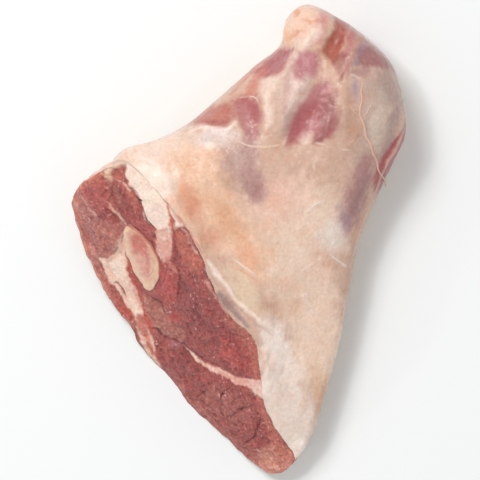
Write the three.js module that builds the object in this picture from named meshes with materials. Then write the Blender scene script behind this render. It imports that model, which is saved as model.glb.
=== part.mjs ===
// Raw lamb foreshank, 200 mm long, lying on its flat side with the sawn face leaning up towards the viewer.
// Millimetres, +Z up. The plan is what is seen from straight above: +Y runs towards the shank's far end,
// and the origin is on the table, under the middle of the piece.
//
// The meat is one closed skin, worked out ring by ring. A ring is a section of the leg: it spans from the
// left side of the outline to the right side, and is a rounded form with its own height above and below
// that line. The rings grow from the far end of the shank to the sawn face, which lies in a leaning plane.
// There the skin turns in over the sawn face, down the socket that holds the bone, and closes.

import * as THREE from "three";
import { ParametricGeometry } from "three/addons/geometries/ParametricGeometry.js";
import { mergeVertices } from "three/addons/utils/BufferGeometryUtils.js";

// Sections of the leg, from the middle of the far end to the sawn face. left and right are points of the
// outline at the widest level. ridge is how far across the section its top and bottom lie, rise and drop
// are how far they stand above and below the widest level, and lean is how far the section tilts back for
// each millimetre of height.
const SECTIONS = [
  { left: [46.7, 91.7, 22], right: [46.7, 91.7, 22], ridge: 0.5, rise: 0, drop: 0, lean: 0 },
  { left: [34.4, 98.3, 22], right: [54.4, 85.4, 22], ridge: 0.5, rise: 11, drop: 12, lean: 0 },
  { left: [27.6, 99.3, 22], right: [60.7, 79.6, 22], ridge: 0.5, rise: 17, drop: 17, lean: 0 },
  { left: [22.8, 96.0, 22], right: [65.4, 73.5, 22], ridge: 0.5, rise: 20.5, drop: 20, lean: 0 },
  { left: [19.5, 89.8, 22], right: [68.4, 64.5, 22], ridge: 0.48, rise: 22.5, drop: 21.5, lean: 0 },
  { left: [17.0, 82.0, 22.5], right: [70.5, 53.1, 21.5], ridge: 0.46, rise: 24, drop: 23, lean: 0 },
  { left: [7.2, 74.3, 23], right: [69.6, 43.3, 21], ridge: 0.45, rise: 25, drop: 23.5, lean: 0.02 },
  { left: [-6.8, 61.6, 24], right: [62.3, 27.5, 20], ridge: 0.42, rise: 26, drop: 24.5, lean: 0.06 },
  { left: [-21.7, 48.8, 25], right: [56.1, 12.3, 19], ridge: 0.4, rise: 27.5, drop: 26, lean: 0.12 },
  { left: [-36.9, 40.3, 26], right: [50.1, -4.2, 18], ridge: 0.38, rise: 29, drop: 26, lean: 0.2 },
  { left: [-50.2, 34.0, 26.5], right: [45.9, -24.2, 17], ridge: 0.36, rise: 30, drop: 27, lean: 0.32 },
  { left: [-57.6, 25.5, 27], right: [41.2, -46.7, 15], ridge: 0.34, rise: 30, drop: 27, lean: 0.48 },
  { left: [-65.0, 22.5, 27], right: [30.2, -82.6, 13], ridge: 0.32, rise: 30, drop: 27, lean: 0.68 },
  { left: [-69.6, 20.0, 27], right: [20.6, -97.6, 12], ridge: 0.3, rise: 30, drop: 25, lean: 0.9 },
];
const LAST = SECTIONS.length - 1;
const SQUARENESS = 2.4; // of a section: 2 is an ellipse, more is squarer

// The rim of the sawn face, in space: from the tip up the cover's edge to the elbow, and back along the
// lower edge, past the notch between the thin flank and the lower muscle.
const COVER_EDGE = [
  [22.3, -95.9, 13], [23.0, -91.0, 17], [18.3, -84.1, 20], [11.0, -71.3, 25],
  [9.3, -59.0, 31.5], [6.4, -41.6, 40], [-3.8, -32.3, 43], [-11.9, -17.4, 47],
  [-17.8, -2.5, 50.5], [-28.5, 13.2, 52.5], [-45.9, 31.0, 49], [-60.7, 27.2, 39],
];
const LOWER_EDGE = [
  [-69.6, 20.0, 25], [-70.1, 10.2, 16], [-65.8, -3.8, 9.5], [-59.9, -16.6, 6.5],
  [-53.9, -27.6, 4], [-46.9, -36.4, 4], [-41.9, -45.8, 2], [-30.9, -57.6, 0],
  [-19.3, -72.3, 0], [-5.3, -85.1, 1.5], [5.4, -95.0, 4], [14.4, -99.8, 7.5],
];
const LIP = 2; // the cover swells this far behind the rim, and rounds over into it

// Muscle bellies, tendons and grooves of the upper side: plan place, length and width, turn from +X in
// degrees, and how far each stands up.
const UPPER_FORMS = [
  { name: "knuckle", at: [27, 91], size: [10, 7], turn: 60, rise: 2.6 },
  { name: "neck below the knuckle", at: [21, 80], size: [9, 4], turn: 40, rise: -1.8 },
  { name: "tendon off the knuckle", at: [27, 82], size: [11, 3.5], turn: 45, rise: 1.6 },
  { name: "its run down the forearm", at: [15, 66], size: [17, 4.5], turn: 60, rise: 1.5 },
  { name: "its lower end", at: [12, 51], size: [14, 5.5], turn: 88, rise: 1.1 },
  { name: "bare muscle in its cleft", at: [40, 84], size: [13, 4], turn: 65, rise: -2.8 },
  { name: "tendon beside the cleft", at: [47, 78], size: [13, 3.5], turn: 65, rise: 1.5 },
  { name: "flexor belly", at: [58, 55], size: [28, 10], turn: 100, rise: 2.0 },
  { name: "crimson hollow", at: [28.5, 51], size: [15, 6], turn: 62, rise: -1.4 },
  { name: "fascia ridge", at: [41, 55], size: [26, 5], turn: 75, rise: 1.2 },
  { name: "leaf muscle", at: [14, 75], size: [9, 3.5], turn: 50, rise: -1.0 },
  { name: "rose hollow", at: [4, 51], size: [12, 6], turn: 110, rise: -1.3 },
  { name: "bend of the elbow", at: [-10, 38], size: [17, 8], turn: 15, rise: -1.4 },
  { name: "fat over the elbow", at: [-41, 30], size: [16, 10], turn: -20, rise: 2.0 },
  { name: "valley behind the lip", at: [-16, 6], size: [19, 4.5], turn: 125, rise: -1.2 },
  { name: "shoulder of the slab", at: [19, -13], size: [40, 20], turn: 115, rise: 1.5 },
  { name: "membrane valley", at: [1, -33], size: [17, 4], turn: 126, rise: -1.2 },
  { name: "brisket flap", at: [26, -68], size: [26, 9], turn: 105, rise: 1.0 },
];

// The same for the side it lies on.
const UNDER_FORMS = [
  { name: "shin muscle", at: [34, 62], size: [30, 12], turn: 55, rise: 1.6 },
  { name: "groove along the shin", at: [14, 42], size: [34, 5], turn: 50, rise: -2.6 },
  { name: "thin flank", at: [30, -28], size: [46, 10], turn: 110, rise: -1.6 },
];

// Relief of the sawn face: muscles that swell a little, seams and pockets that sink.
const FACE_FORMS = [
  { name: "front muscle", at: [-60, 8], size: [15, 9], turn: 103, rise: 1.5 },
  { name: "second muscle", at: [-45, 16], size: [16, 6], turn: 115, rise: 1.2 },
  { name: "seam between the two", at: [-52.5, 16], size: [12, 2], turn: 110, rise: -1.6 },
  { name: "white fat", at: [-34.5, 12], size: [8, 6], turn: 100, rise: 1.0 },
  { name: "pink fat", at: [-32, -3.5], size: [10, 4.5], turn: 100, rise: 0.9 },
  { name: "fat band under the bone", at: [-48.5, -24.5], size: [20, 3.5], turn: 126, rise: -0.8 },
  { name: "thin lower muscle", at: [-57.5, -19], size: [20, 4], turn: 118, rise: 0.8 },
  { name: "large red muscle", at: [-14.5, -27.5], size: [26, 12], turn: 116, rise: 1.6 },
  { name: "seam across", at: [-14.5, -52], size: [22, 2.5], turn: 155, rise: -1.5 },
  { name: "lower muscle", at: [-7, -70], size: [30, 10], turn: 136, rise: 1.4 },
];

// The sawn arm bone: the plan place of its cut, the half sizes of the cut in the plane of the face, the
// turn of its long side there, and its run towards the elbow, where it flares.
const BONE = {
  plan: [-41.2, -7.9],
  halfLong: 16.4,
  halfShort: 8.3,
  turn: THREE.MathUtils.degToRad(-26),
  run: [46, 44, -5],
  flare: 1.15,
};
const MARROW = { share: 0.62, offset: [-0.5, 1.4], depthShare: 0.9 };
const BONE_PROUD = 0.5; // the bone stands a little proud of the sawn face
const MARROW_SUNK = 0.6; // and the marrow lies a little below the bone
const FIT_GAP = 0.3; // between pieces that touch
const SIDE_GAP = 0.38; // the same gap measured in the plane of the face, which cuts the bone aslant

const AROUND = 72; // points in each ring
const MEAT_ROWS = { skin: 58, face: 14, socket: 3, floor: 1 };
const BONE_AROUND = 32;
const BONE_ROWS = { back: 2, wall: 5, face: 2, bore: 4, floor: 1 };
const MARROW_ROWS = { back: 1, wall: 4, face: 3 };

const MEAT_FINISH = { color: 0xdcb6a4, roughness: 0.5, metalness: 0 };
const BONE_FINISH = { color: 0xe6c8ac, roughness: 0.55, metalness: 0 };
const MARROW_FINISH = { color: 0xd3958a, roughness: 0.45, metalness: 0 };

const { lerp, smoothstep, clamp } = THREE.MathUtils;

// One span of a uniform Catmull-Rom spline, from p1 at f = 0 to p2 at f = 1.
function splineSpan(p0, p1, p2, p3, f) {
  const slope1 = (p2 - p0) / 2;
  const slope2 = (p3 - p1) / 2;
  const cubic = 2 * p1 - 2 * p2 + slope1 + slope2;
  const square = -3 * p1 + 3 * p2 - 2 * slope1 - slope2;
  return ((cubic * f + square) * f + slope1) * f + p1;
}

// A smooth curve through values[0], values[1] ... at t = 0, 1 ..., whose ends carry on straight.
function openSpline(values) {
  const last = values.length - 1;
  const padded = [2 * values[0] - values[1], ...values, 2 * values[last] - values[last - 1]];
  return (t) => {
    const i = clamp(Math.floor(t), 0, last - 1);
    return splineSpan(padded[i], padded[i + 1], padded[i + 2], padded[i + 3], t - i);
  };
}

// The same round a closed loop of values.
function closedSpline(values) {
  const count = values.length;
  return (t) => {
    const i = Math.floor(t);
    const [p0, p1, p2, p3] = [-1, 0, 1, 2].map((k) => values[(i + k + count) % count]);
    return splineSpan(p0, p1, p2, p3, t - i);
  };
}

const sectionCurves = {
  leftX: openSpline(SECTIONS.map((s) => s.left[0])),
  leftY: openSpline(SECTIONS.map((s) => s.left[1])),
  rightX: openSpline(SECTIONS.map((s) => s.right[0])),
  rightY: openSpline(SECTIONS.map((s) => s.right[1])),
  leftZ: openSpline(SECTIONS.map((s) => s.left[2])),
  rightZ: openSpline(SECTIONS.map((s) => s.right[2])),
  ridge: openSpline(SECTIONS.map((s) => s.ridge)),
  rise: openSpline(SECTIONS.map((s) => s.rise)),
  drop: openSpline(SECTIONS.map((s) => s.drop)),
  lean: openSpline(SECTIONS.map((s) => s.lean)),
};

// The section at a share of the way from the far end to the sawn face: its measures, its width, the unit
// direction across it and the plan normal, which points back to the far end.
function sectionAt(share) {
  const measures = Object.entries(sectionCurves).map(([key, curve]) => [key, curve(share * LAST)]);
  const c = Object.fromEntries(measures);
  const width = Math.hypot(c.rightX - c.leftX, c.rightY - c.leftY);
  const across = width > 0 ? [(c.rightX - c.leftX) / width, (c.rightY - c.leftY) / width] : [0.7, -0.7];
  return { ...c, width, across, normal: [-across[1], across[0]] };
}

const levelAt = (section, side) => lerp(section.leftZ, section.rightZ, side / section.width);

// A point in a section: side millimetres from its left side, height above its widest level and back
// towards the far end. The piece rests on the table, so nothing goes below it.
function placeInSection(section, side, height, back) {
  return new THREE.Vector3(
    section.leftX + section.across[0] * side + section.normal[0] * back,
    section.leftY + section.across[1] * side + section.normal[1] * back,
    Math.max(0, levelAt(section, side) + height),
  );
}

// The rim of the sawn face, measured in the last section: how far across it each point lies, as a share of
// the width, how high above the widest level, and how far back.
const faceSection = sectionAt(1);
const dot = ([ax, ay], [bx, by]) => ax * bx + ay * by;
const rim = [...COVER_EDGE, ...LOWER_EDGE].map(([x, y, z]) => {
  const fromLeft = [x - faceSection.leftX, y - faceSection.leftY];
  const side = dot(fromLeft, faceSection.across);
  return {
    share: side / faceSection.width,
    height: z - levelAt(faceSection, side),
    back: dot(fromLeft, faceSection.normal),
  };
});
const rimShare = closedSpline(rim.map((p) => p.share));
const rimHeight = closedSpline(rim.map((p) => p.height));
const rimBack = closedSpline(rim.map((p) => p.back));

// How far a list of forms stands up at a plan point: each is a smooth hump over a turned ellipse.
function formsAt(forms, x, y) {
  return forms.reduce((sum, form) => {
    const turn = THREE.MathUtils.degToRad(form.turn);
    const dx = x - form.at[0];
    const dy = y - form.at[1];
    const long = (dx * Math.cos(turn) + dy * Math.sin(turn)) / form.size[0];
    const short = (dy * Math.cos(turn) - dx * Math.sin(turn)) / form.size[1];
    return sum + form.rise * Math.exp(-(long * long + short * short));
  }, 0);
}

// A point of the outer skin. angle 0 is the right side, a quarter turn is the top, a half turn the left.
function skinPoint(angle, share) {
  const section = sectionAt(share);
  if (section.width < 1e-6) return new THREE.Vector3(section.leftX, section.leftY, section.leftZ);
  const [cos, sin] = [Math.cos(angle), Math.sin(angle)];
  const halfWidth = section.width * (cos >= 0 ? 1 - section.ridge : section.ridge);
  const halfHeight = sin >= 0 ? section.rise : section.drop;
  const size = (Math.abs(cos) ** SQUARENESS + Math.abs(sin) ** SQUARENESS) ** (1 / SQUARENESS);
  const roundSide = section.ridge * section.width + (halfWidth * cos) / size;
  const roundHeight = (halfHeight * sin) / size;
  const roundBack = Math.max(-levelAt(section, roundSide), roundHeight) * section.lean;

  // Towards the sawn face the section takes the shape of its rim.
  const turns = (angle / (2 * Math.PI)) * rim.length;
  const sawn = smoothstep(share, 0.5, 1) ** 1.15;
  const side = lerp(roundSide, rimShare(turns) * section.width, sawn);
  const height = lerp(roundHeight, rimHeight(turns), sawn);
  const back = lerp(roundBack, (rimBack(turns) * section.lean) / faceSection.lean, sawn);

  // The relief stands square to the section's round, and fades out at its two sides and at both ends.
  const plain = placeInSection(section, side, height, back);
  const fromSides = smoothstep(Math.abs(sin), 0, 0.35);
  const fromEnds = smoothstep(share, 0, 0.12) * smoothstep(1 - share, -0.02, 0.06);
  const forms = formsAt(sin >= 0 ? UPPER_FORMS : UNDER_FORMS, plain.x, plain.y) * fromSides * fromEnds;
  const roundOver = Math.sqrt(1 - clamp((share - 0.95) / 0.05, 0, 1) ** 2);
  const lip = LIP * smoothstep(share, 0.6, 0.9) * roundOver * smoothstep(sin, 0, 0.45);
  const outward = new THREE.Vector2(cos / halfWidth, sin / halfHeight).normalize();
  const up = outward.y * (forms + lip);
  return placeInSection(section, side + outward.x * (forms + lip), height + up, back + up * section.lean);
}

// The mean plane of the sawn face: the direction along it to the tip, the one up its slope, its normal.
const faceAlong = new THREE.Vector3(
  faceSection.rightX - faceSection.leftX,
  faceSection.rightY - faceSection.leftY,
  faceSection.rightZ - faceSection.leftZ,
).normalize();
const faceTilt = new THREE.Vector3(
  faceSection.normal[0] * faceSection.lean,
  faceSection.normal[1] * faceSection.lean,
  1,
);
const faceOut = new THREE.Vector3().crossVectors(faceAlong, faceTilt).normalize();
const faceSlope = new THREE.Vector3().crossVectors(faceOut, faceAlong).normalize();

const faceCorner = new THREE.Vector3(faceSection.leftX, faceSection.leftY, faceSection.leftZ);

// The height of that plane over a plan point.
function faceHeight(x, y) {
  return faceCorner.z - ((x - faceCorner.x) * faceOut.x + (y - faceCorner.y) * faceOut.y) / faceOut.z;
}

const boneCentre = new THREE.Vector3(...BONE.plan, faceHeight(...BONE.plan));
const boneRun = new THREE.Vector3(...BONE.run);
const runDepth = -boneRun.dot(faceOut); // how deep the whole run goes, square to the face

// The outline of the sawn bone in the face's plane, scaled about its centre and grown by a margin.
function boneOutline(angle, margin, scale = 1, offset = [0, 0]) {
  const long = (BONE.halfLong * scale + margin) * Math.cos(angle);
  const short = (BONE.halfShort * scale + margin) * Math.sin(angle);
  const along = long * Math.cos(BONE.turn) - short * Math.sin(BONE.turn) + offset[0];
  const up = long * Math.sin(BONE.turn) + short * Math.cos(BONE.turn) + offset[1];
  return new THREE.Vector3().addScaledVector(faceAlong, along).addScaledVector(faceSlope, up);
}

// A point on the wall of the bone, or of its socket, at a share of its run from the face to the elbow.
function boneWall(angle, share, margin, scale, offset) {
  return boneOutline(angle, margin, scale, offset)
    .multiplyScalar(lerp(1, BONE.flare, share))
    .add(boneCentre)
    .addScaledVector(boneRun, share);
}

// The sawn face, from the skin's last ring in to the mouth of the bone's socket. Soft meat curls out of
// the mean plane at the rim, and lies in it further in.
function facePoint(angle, inward) {
  const edge = skinPoint(angle, 1);
  const curl = edge.z - faceHeight(edge.x, edge.y);
  const point = edge.lerp(boneWall(angle, 0, 0), inward);
  point.z = faceHeight(point.x, point.y) + curl * (1 - inward) ** 3;
  const fromEdges = Math.sqrt(Math.sin(Math.PI * clamp(inward, 0, 1)));
  return point.addScaledVector(faceOut, formsAt(FACE_FORMS, point.x, point.y) * fromEdges);
}

// A closed surface from rows of rings. zones lists [rows, point(angle, share)] in order, and the first and
// last ring each shrink to a point. The seam is merged, and triangles without area are left out.
function closedSurface(around, zones) {
  const rows = zones.reduce((sum, [count]) => sum + count, 0);
  const surface = (u, v, target) => {
    let row = v * rows;
    let zone = 0;
    while (zone < zones.length - 1 && row > zones[zone][0] + 1e-9) {
      row -= zones[zone][0];
      zone += 1;
    }
    target.copy(zones[zone][1]((u % 1) * 2 * Math.PI, row / zones[zone][0]));
  };
  const sheet = new ParametricGeometry(surface, around, rows);
  sheet.deleteAttribute("normal");
  sheet.deleteAttribute("uv");
  const merged = mergeVertices(sheet, 1e-4);
  const kept = [];
  for (let i = 0; i < merged.index.count; i += 3) {
    const [a, b, c] = [0, 1, 2].map((k) => merged.index.getX(i + k));
    if (a !== b && b !== c && c !== a) kept.push(a, b, c);
  }
  merged.setIndex(kept);
  merged.computeVertexNormals();
  return merged;
}

const growFrom = (centre, point) => (angle, share) => point(angle).lerp(centre, 1 - share);
const shrinkTo = (centre, point) => (angle, share) => point(angle).lerp(centre, share);

function meatGeometry() {
  const floorCentre = boneCentre.clone().add(boneRun);
  return closedSurface(AROUND, [
    [MEAT_ROWS.skin, skinPoint],
    [MEAT_ROWS.face, facePoint],
    [MEAT_ROWS.socket, (angle, share) => boneWall(angle, share, 0)],
    [MEAT_ROWS.floor, shrinkTo(floorCentre, (angle) => boneWall(angle, 1, 0))],
  ]);
}

// The bone is a thick-walled tube, closed at the elbow, whose sawn end shows with the marrow in it.
function boneGeometry() {
  const end = 1 - FIT_GAP / boneRun.length();
  const face = -BONE_PROUD / runDepth;
  const outer = (angle, share) => boneWall(angle, share, -SIDE_GAP);
  const inner = (angle, share) => boneWall(angle, share, 0, MARROW.share, MARROW.offset);
  const backCentre = boneCentre.clone().addScaledVector(boneRun, end);
  const floorCentre = boneCentre.clone().addScaledVector(boneRun, MARROW.depthShare);
  return closedSurface(BONE_AROUND, [
    [BONE_ROWS.back, growFrom(backCentre, (angle) => outer(angle, end))],
    [BONE_ROWS.wall, (angle, share) => outer(angle, lerp(end, face, share))],
    [BONE_ROWS.face, (angle, share) => outer(angle, face).lerp(inner(angle, face), share)],
    [BONE_ROWS.bore, (angle, share) => inner(angle, lerp(face, MARROW.depthShare, share))],
    [BONE_ROWS.floor, shrinkTo(floorCentre, (angle) => inner(angle, MARROW.depthShare))],
  ]);
}

function marrowGeometry() {
  const end = MARROW.depthShare - FIT_GAP / boneRun.length();
  const face = (MARROW_SUNK - BONE_PROUD) / runDepth;
  const wall = (angle, share) => boneWall(angle, share, -SIDE_GAP, MARROW.share, MARROW.offset);
  const backCentre = boneCentre.clone().addScaledVector(boneRun, end);
  const faceCentre = boneOutline(0, 0, 0, MARROW.offset).add(boneCentre).addScaledVector(boneRun, face);
  return closedSurface(BONE_AROUND, [
    [MARROW_ROWS.back, growFrom(backCentre, (angle) => wall(angle, end))],
    [MARROW_ROWS.wall, (angle, share) => wall(angle, lerp(end, face, share))],
    [MARROW_ROWS.face, shrinkTo(faceCentre, (angle) => wall(angle, face))],
  ]);
}

function piece(name, geometry, finish) {
  const mesh = new THREE.Mesh(geometry, new THREE.MeshStandardMaterial(finish));
  mesh.name = name;
  return mesh;
}

const foreshank = new THREE.Group();
foreshank.add(
  piece("shank_meat", meatGeometry(), MEAT_FINISH),
  piece("arm_bone", boneGeometry(), BONE_FINISH),
  piece("bone_marrow", marrowGeometry(), MARROW_FINISH),
);

export default foreshank;
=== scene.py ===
"""A raw lamb foreshank on a pale floor, seen from straight above.

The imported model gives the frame. The meat is shown by two new surfaces, the cover (fat, fascia and the
muscle that shows through them) and the sawn face, and the bone, its marrow and the loose strands on the
cover are pieces of their own. Shapes are worked out in millimetres and go into the meshes in metres.
"""
import math

import bpy
import mathutils
import numpy as np
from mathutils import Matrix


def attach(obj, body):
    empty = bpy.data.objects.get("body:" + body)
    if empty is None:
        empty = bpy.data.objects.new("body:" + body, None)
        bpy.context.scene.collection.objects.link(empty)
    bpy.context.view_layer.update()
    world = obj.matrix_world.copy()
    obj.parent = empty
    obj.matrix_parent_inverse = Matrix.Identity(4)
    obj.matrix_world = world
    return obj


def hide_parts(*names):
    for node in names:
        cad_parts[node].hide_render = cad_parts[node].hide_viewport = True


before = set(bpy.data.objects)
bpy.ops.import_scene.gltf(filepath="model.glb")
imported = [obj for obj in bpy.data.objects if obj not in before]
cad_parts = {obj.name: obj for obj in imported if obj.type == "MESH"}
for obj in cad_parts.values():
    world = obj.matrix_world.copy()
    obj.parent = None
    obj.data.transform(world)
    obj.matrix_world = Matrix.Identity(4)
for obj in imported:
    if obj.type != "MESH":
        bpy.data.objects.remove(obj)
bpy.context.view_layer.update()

MM = 0.001

# Sections of the leg, as in the solid: plan points of its left and right side, the heights of its widest
# level there, the ridge's share of the way across, its rise and drop, and its lean back with height.
SECTIONS = np.array([
    (46.7, 91.7, 46.7, 91.7, 22, 22, 0.50, 0, 0, 0),
    (34.4, 98.3, 54.4, 85.4, 22, 22, 0.50, 11, 12, 0),
    (27.6, 99.3, 60.7, 79.6, 22, 22, 0.50, 17, 17, 0),
    (22.8, 96.0, 65.4, 73.5, 22, 22, 0.50, 20.5, 20, 0),
    (19.5, 89.8, 68.4, 64.5, 22, 22, 0.48, 22.5, 21.5, 0),
    (17.0, 82.0, 70.5, 53.1, 22.5, 21.5, 0.46, 24, 23, 0),
    (7.2, 74.3, 69.6, 43.3, 23, 21, 0.45, 25, 23.5, 0.02),
    (-6.8, 61.6, 62.3, 27.5, 24, 20, 0.42, 26, 24.5, 0.06),
    (-21.7, 48.8, 56.1, 12.3, 25, 19, 0.40, 27.5, 26, 0.12),
    (-36.9, 40.3, 50.1, -4.2, 26, 18, 0.38, 29, 26, 0.20),
    (-50.2, 34.0, 45.9, -24.2, 26.5, 17, 0.36, 30, 27, 0.32),
    (-57.6, 25.5, 41.2, -46.7, 27, 15, 0.34, 30, 27, 0.48),
    (-65.0, 22.5, 30.2, -82.6, 27, 13, 0.32, 30, 27, 0.68),
    (-69.6, 20.0, 20.6, -97.6, 27, 12, 0.30, 30, 25, 0.90),
])
SQUARENESS = 2.4
LIP = 2.0
LOW_LIP_AT, LOW_LIP_REACH, LOW_LIP_LOSS = (-36, 24), 22, 0.92  # where the elbow's fat takes most of it away

# The rim of the sawn face: up the cover's edge from the tip to the elbow, back along the lower edge.
RIM = np.array([
    (22.3, -95.9, 13), (23.0, -91.0, 17), (18.3, -84.1, 20), (11.0, -71.3, 25),
    (9.3, -59.0, 31.5), (6.4, -41.6, 40), (-3.8, -32.3, 43), (-11.9, -17.4, 47),
    (-17.8, -2.5, 50.5), (-28.5, 13.2, 52.5), (-45.9, 31.0, 49), (-60.7, 27.2, 39),
    (-69.6, 20.0, 25), (-70.1, 10.2, 16), (-65.8, -3.8, 9.5), (-59.9, -16.6, 6.5),
    (-53.9, -27.6, 4), (-46.9, -36.4, 4), (-41.9, -45.8, 2), (-30.9, -57.6, 0),
    (-19.3, -72.3, 0), (-5.3, -85.1, 1.5), (5.4, -95.0, 4), (14.4, -99.8, 7.5),
])

# Forms of the upper side, of the side it lies on and of the sawn face: plan place, length, width, turn
# from +X in degrees and rise, in millimetres.
UPPER_FORMS = [
    (27, 91, 10, 7, 60, 2.6),      # knuckle
    (21, 80, 9, 4, 40, -1.8),      # neck below it
    (27, 82, 11, 3.5, 45, 1.6),    # tendon off the knuckle
    (15, 66, 17, 4.5, 60, 1.5),    # its run down the forearm
    (12, 51, 14, 5.5, 88, 1.1),    # its lower end
    (40, 84, 13, 4, 65, -2.8),     # bare muscle in its cleft
    (47, 78, 13, 3.5, 65, 1.5),    # tendon beside the cleft
    (58, 55, 28, 10, 100, 2.0),    # flexor belly
    (28.5, 51, 15, 6, 62, -1.4),   # crimson hollow
    (41, 55, 26, 5, 75, 1.2),      # fascia ridge
    (14, 75, 9, 3.5, 50, -1.0),    # leaf muscle
    (4, 51, 12, 6, 110, -1.3),     # rose hollow
    (-10, 38, 17, 8, 15, -1.4),    # bend of the elbow
    (-41, 30, 16, 10, -20, 2.0),   # fat over the elbow
    (-16, 6, 19, 4.5, 125, -1.2),  # valley behind the lip
    (19, -13, 40, 20, 115, 1.5),   # shoulder of the slab
    (1, -33, 17, 4, 126, -1.2),    # membrane valley
    (26, -68, 26, 9, 105, 1.0),    # brisket flap
]
UNDER_FORMS = [
    (34, 62, 30, 12, 55, 1.6),     # shin muscle
    (14, 42, 34, 5, 50, -2.6),     # groove along the shin
    (30, -28, 46, 10, 110, -1.6),  # thin flank
]
FACE_FORMS = [
    (-60, 8, 15, 9, 103, 1.5),     # front muscle
    (-45, 16, 16, 6, 115, 1.2),    # second muscle
    (-52.5, 16, 12, 2, 110, -1.6),  # seam between the two
    (-34.5, 12, 8, 6, 100, 1.0),   # white fat
    (-32, -3.5, 10, 4.5, 100, 0.9),  # pink fat
    (-48.5, -24.5, 20, 3.5, 126, -0.8),  # fat band under the bone
    (-57.5, -19, 20, 4, 118, 0.8),  # thin lower muscle
    (-14.5, -27.5, 26, 12, 116, 1.6),  # large red muscle
    (-14.5, -52, 22, 2.5, 155, -1.5),  # seam across
    (-7, -70, 30, 10, 136, 1.4),   # lower muscle
]

# The sawn arm bone: the plan place of its cut, its half sizes there, the turn of its long side in the
# plane of the face, its run into the meat and its flare, and the marrow's share, place and depth.
BONE_PLACE = (-41.2, -7.9)
BONE_HALF_LONG, BONE_HALF_SHORT = 16.4, 8.3
BONE_TURN = math.radians(-26)
BONE_RUN = np.array([46, 44, -5])
BONE_FLARE = 1.15
BONE_PROUD = 0.3
BONE_LEAF, BONE_BOW = 0.45, -2.9  # how pointed its long ends are, and how far they bend aside
BONE_ROUNDING = 0.5  # of the edge of its cut
BONE_GAP, MARROW_GAP = 0.38, 0.1  # to what is round them, in the plane of the face
MARROW_SHARE, MARROW_OFFSET, MARROW_DEPTH = 0.62, (-0.5, 1.4), 0.9


# Values and colours


def linear(code):
    """Linear red, green and blue from an sRGB hex colour."""
    srgb = np.array([int(code[i:i + 2], 16) for i in (0, 2, 4)]) / 255
    return np.where(srgb <= 0.04045, srgb / 12.92, ((srgb + 0.055) / 1.055) ** 2.4)


def smooth(x, low, high):
    """0 below low, 1 above high, and a smooth cubic step between them."""
    t = np.clip((x - low) / (high - low), 0, 1)
    return t * t * (3 - 2 * t)


def mix(a, b, share):
    """a where share is 0, b where it is 1, and in proportion between."""
    return a + (b - a) * share


# Curves


def span(p0, p1, p2, p3, f):
    """The cubic from p1 to p2, as f goes from 0 to 1, whose end slopes are half of p2-p0 and p3-p1."""
    slope1, slope2 = (p2 - p0) / 2, (p3 - p1) / 2
    cubic = 2 * p1 - 2 * p2 + slope1 + slope2
    square = -3 * p1 + 3 * p2 - 2 * slope1 - slope2
    return ((cubic * f + square) * f + slope1) * f + p1


def open_spline(values, t):
    """The smooth curve through values at t = 0, 1, 2 ..., whose ends carry on straight."""
    i = np.clip(np.floor(t).astype(int), 0, len(values) - 2)
    padded = np.concatenate([[2 * values[0] - values[1]], values, [2 * values[-1] - values[-2]]])
    f = t - i
    if padded.ndim == 2:
        f = f[..., None]
    return span(padded[i], padded[i + 1], padded[i + 2], padded[i + 3], f)


def closed_spline(values, t):
    """The same round a closed loop of values."""
    i = np.floor(t).astype(int)
    return span(*(values[(i + k) % len(values)] for k in (-1, 0, 1, 2)), t - i)


# Noise


def value_noise(points, cell, seed):
    """Smooth noise from 0 to 1: a random value at each corner of a cubic lattice of that cell size in
    millimetres, blended across each cell by the cubic step of the place within it."""
    q = points / cell + seed * 7.31
    corner = np.floor(q).astype(np.int64)
    w = smooth(q - corner, 0, 1)
    total = 0
    for dx in (0, 1):
        for dy in (0, 1):
            for dz in (0, 1):
                mixed = ((corner[..., 0] + dx) * 73856093 ^ (corner[..., 1] + dy) * 19349663
                         ^ (corner[..., 2] + dz) * 83492791 ^ seed * 2654435761)
                mixed = ((mixed ^ (mixed >> 13)) * 1274126177) & 0x7FFFFFFF
                random = ((mixed ^ (mixed >> 15)) & 0xFFFF) / 65535
                share = (np.where(dx, w[..., 0], 1 - w[..., 0]) * np.where(dy, w[..., 1], 1 - w[..., 1])
                         * np.where(dz, w[..., 2], 1 - w[..., 2]))
                total = total + random * share
    return total


def layered_noise(points, cell, seed, layers=3):
    """Value noise with each further layer half the size and half the strength, from -1 to 1."""
    total, weight = 0, 0
    for k in range(layers):
        total = total + (value_noise(points, cell / 2 ** k, seed + k) * 2 - 1) / 2 ** k
        weight += 1 / 2 ** k
    return total / weight


def wander(points, cell, reach, seed):
    """Plan coordinates moved about by layered noise, up to reach millimetres."""
    return np.stack([points[..., k] + reach * layered_noise(points, cell, seed + 11 * k) for k in (0, 1)], -1)


# The skin and the sawn face


def section_at(share):
    """The leg's section at a share of the way from its far end to the sawn face, with its width, the unit
    direction across it and the plan normal that points back to the far end."""
    keys = ("left_x", "left_y", "right_x", "right_y", "left_z", "right_z", "ridge", "rise", "drop", "lean")
    t = np.asarray(share, float) * (len(SECTIONS) - 1)
    s = {key: open_spline(SECTIONS[:, k], t) for k, key in enumerate(keys)}
    dx, dy = s["right_x"] - s["left_x"], s["right_y"] - s["left_y"]
    s["width"] = np.maximum(np.hypot(dx, dy), 1e-6)
    s["across"] = (dx / s["width"], dy / s["width"])
    s["normal"] = (-s["across"][1], s["across"][0])
    return s


def level_at(s, side):
    """The height of a section's widest level, side millimetres from its left side."""
    return mix(s["left_z"], s["right_z"], side / s["width"])


def place(s, side, height, back):
    """The point of a section that lies side across, height above the widest level and back towards the
    far end, kept on or above the floor."""
    return np.stack([
        s["left_x"] + s["across"][0] * side + s["normal"][0] * back,
        s["left_y"] + s["across"][1] * side + s["normal"][1] * back,
        np.maximum(0, level_at(s, side) + height),
    ], -1)


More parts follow.
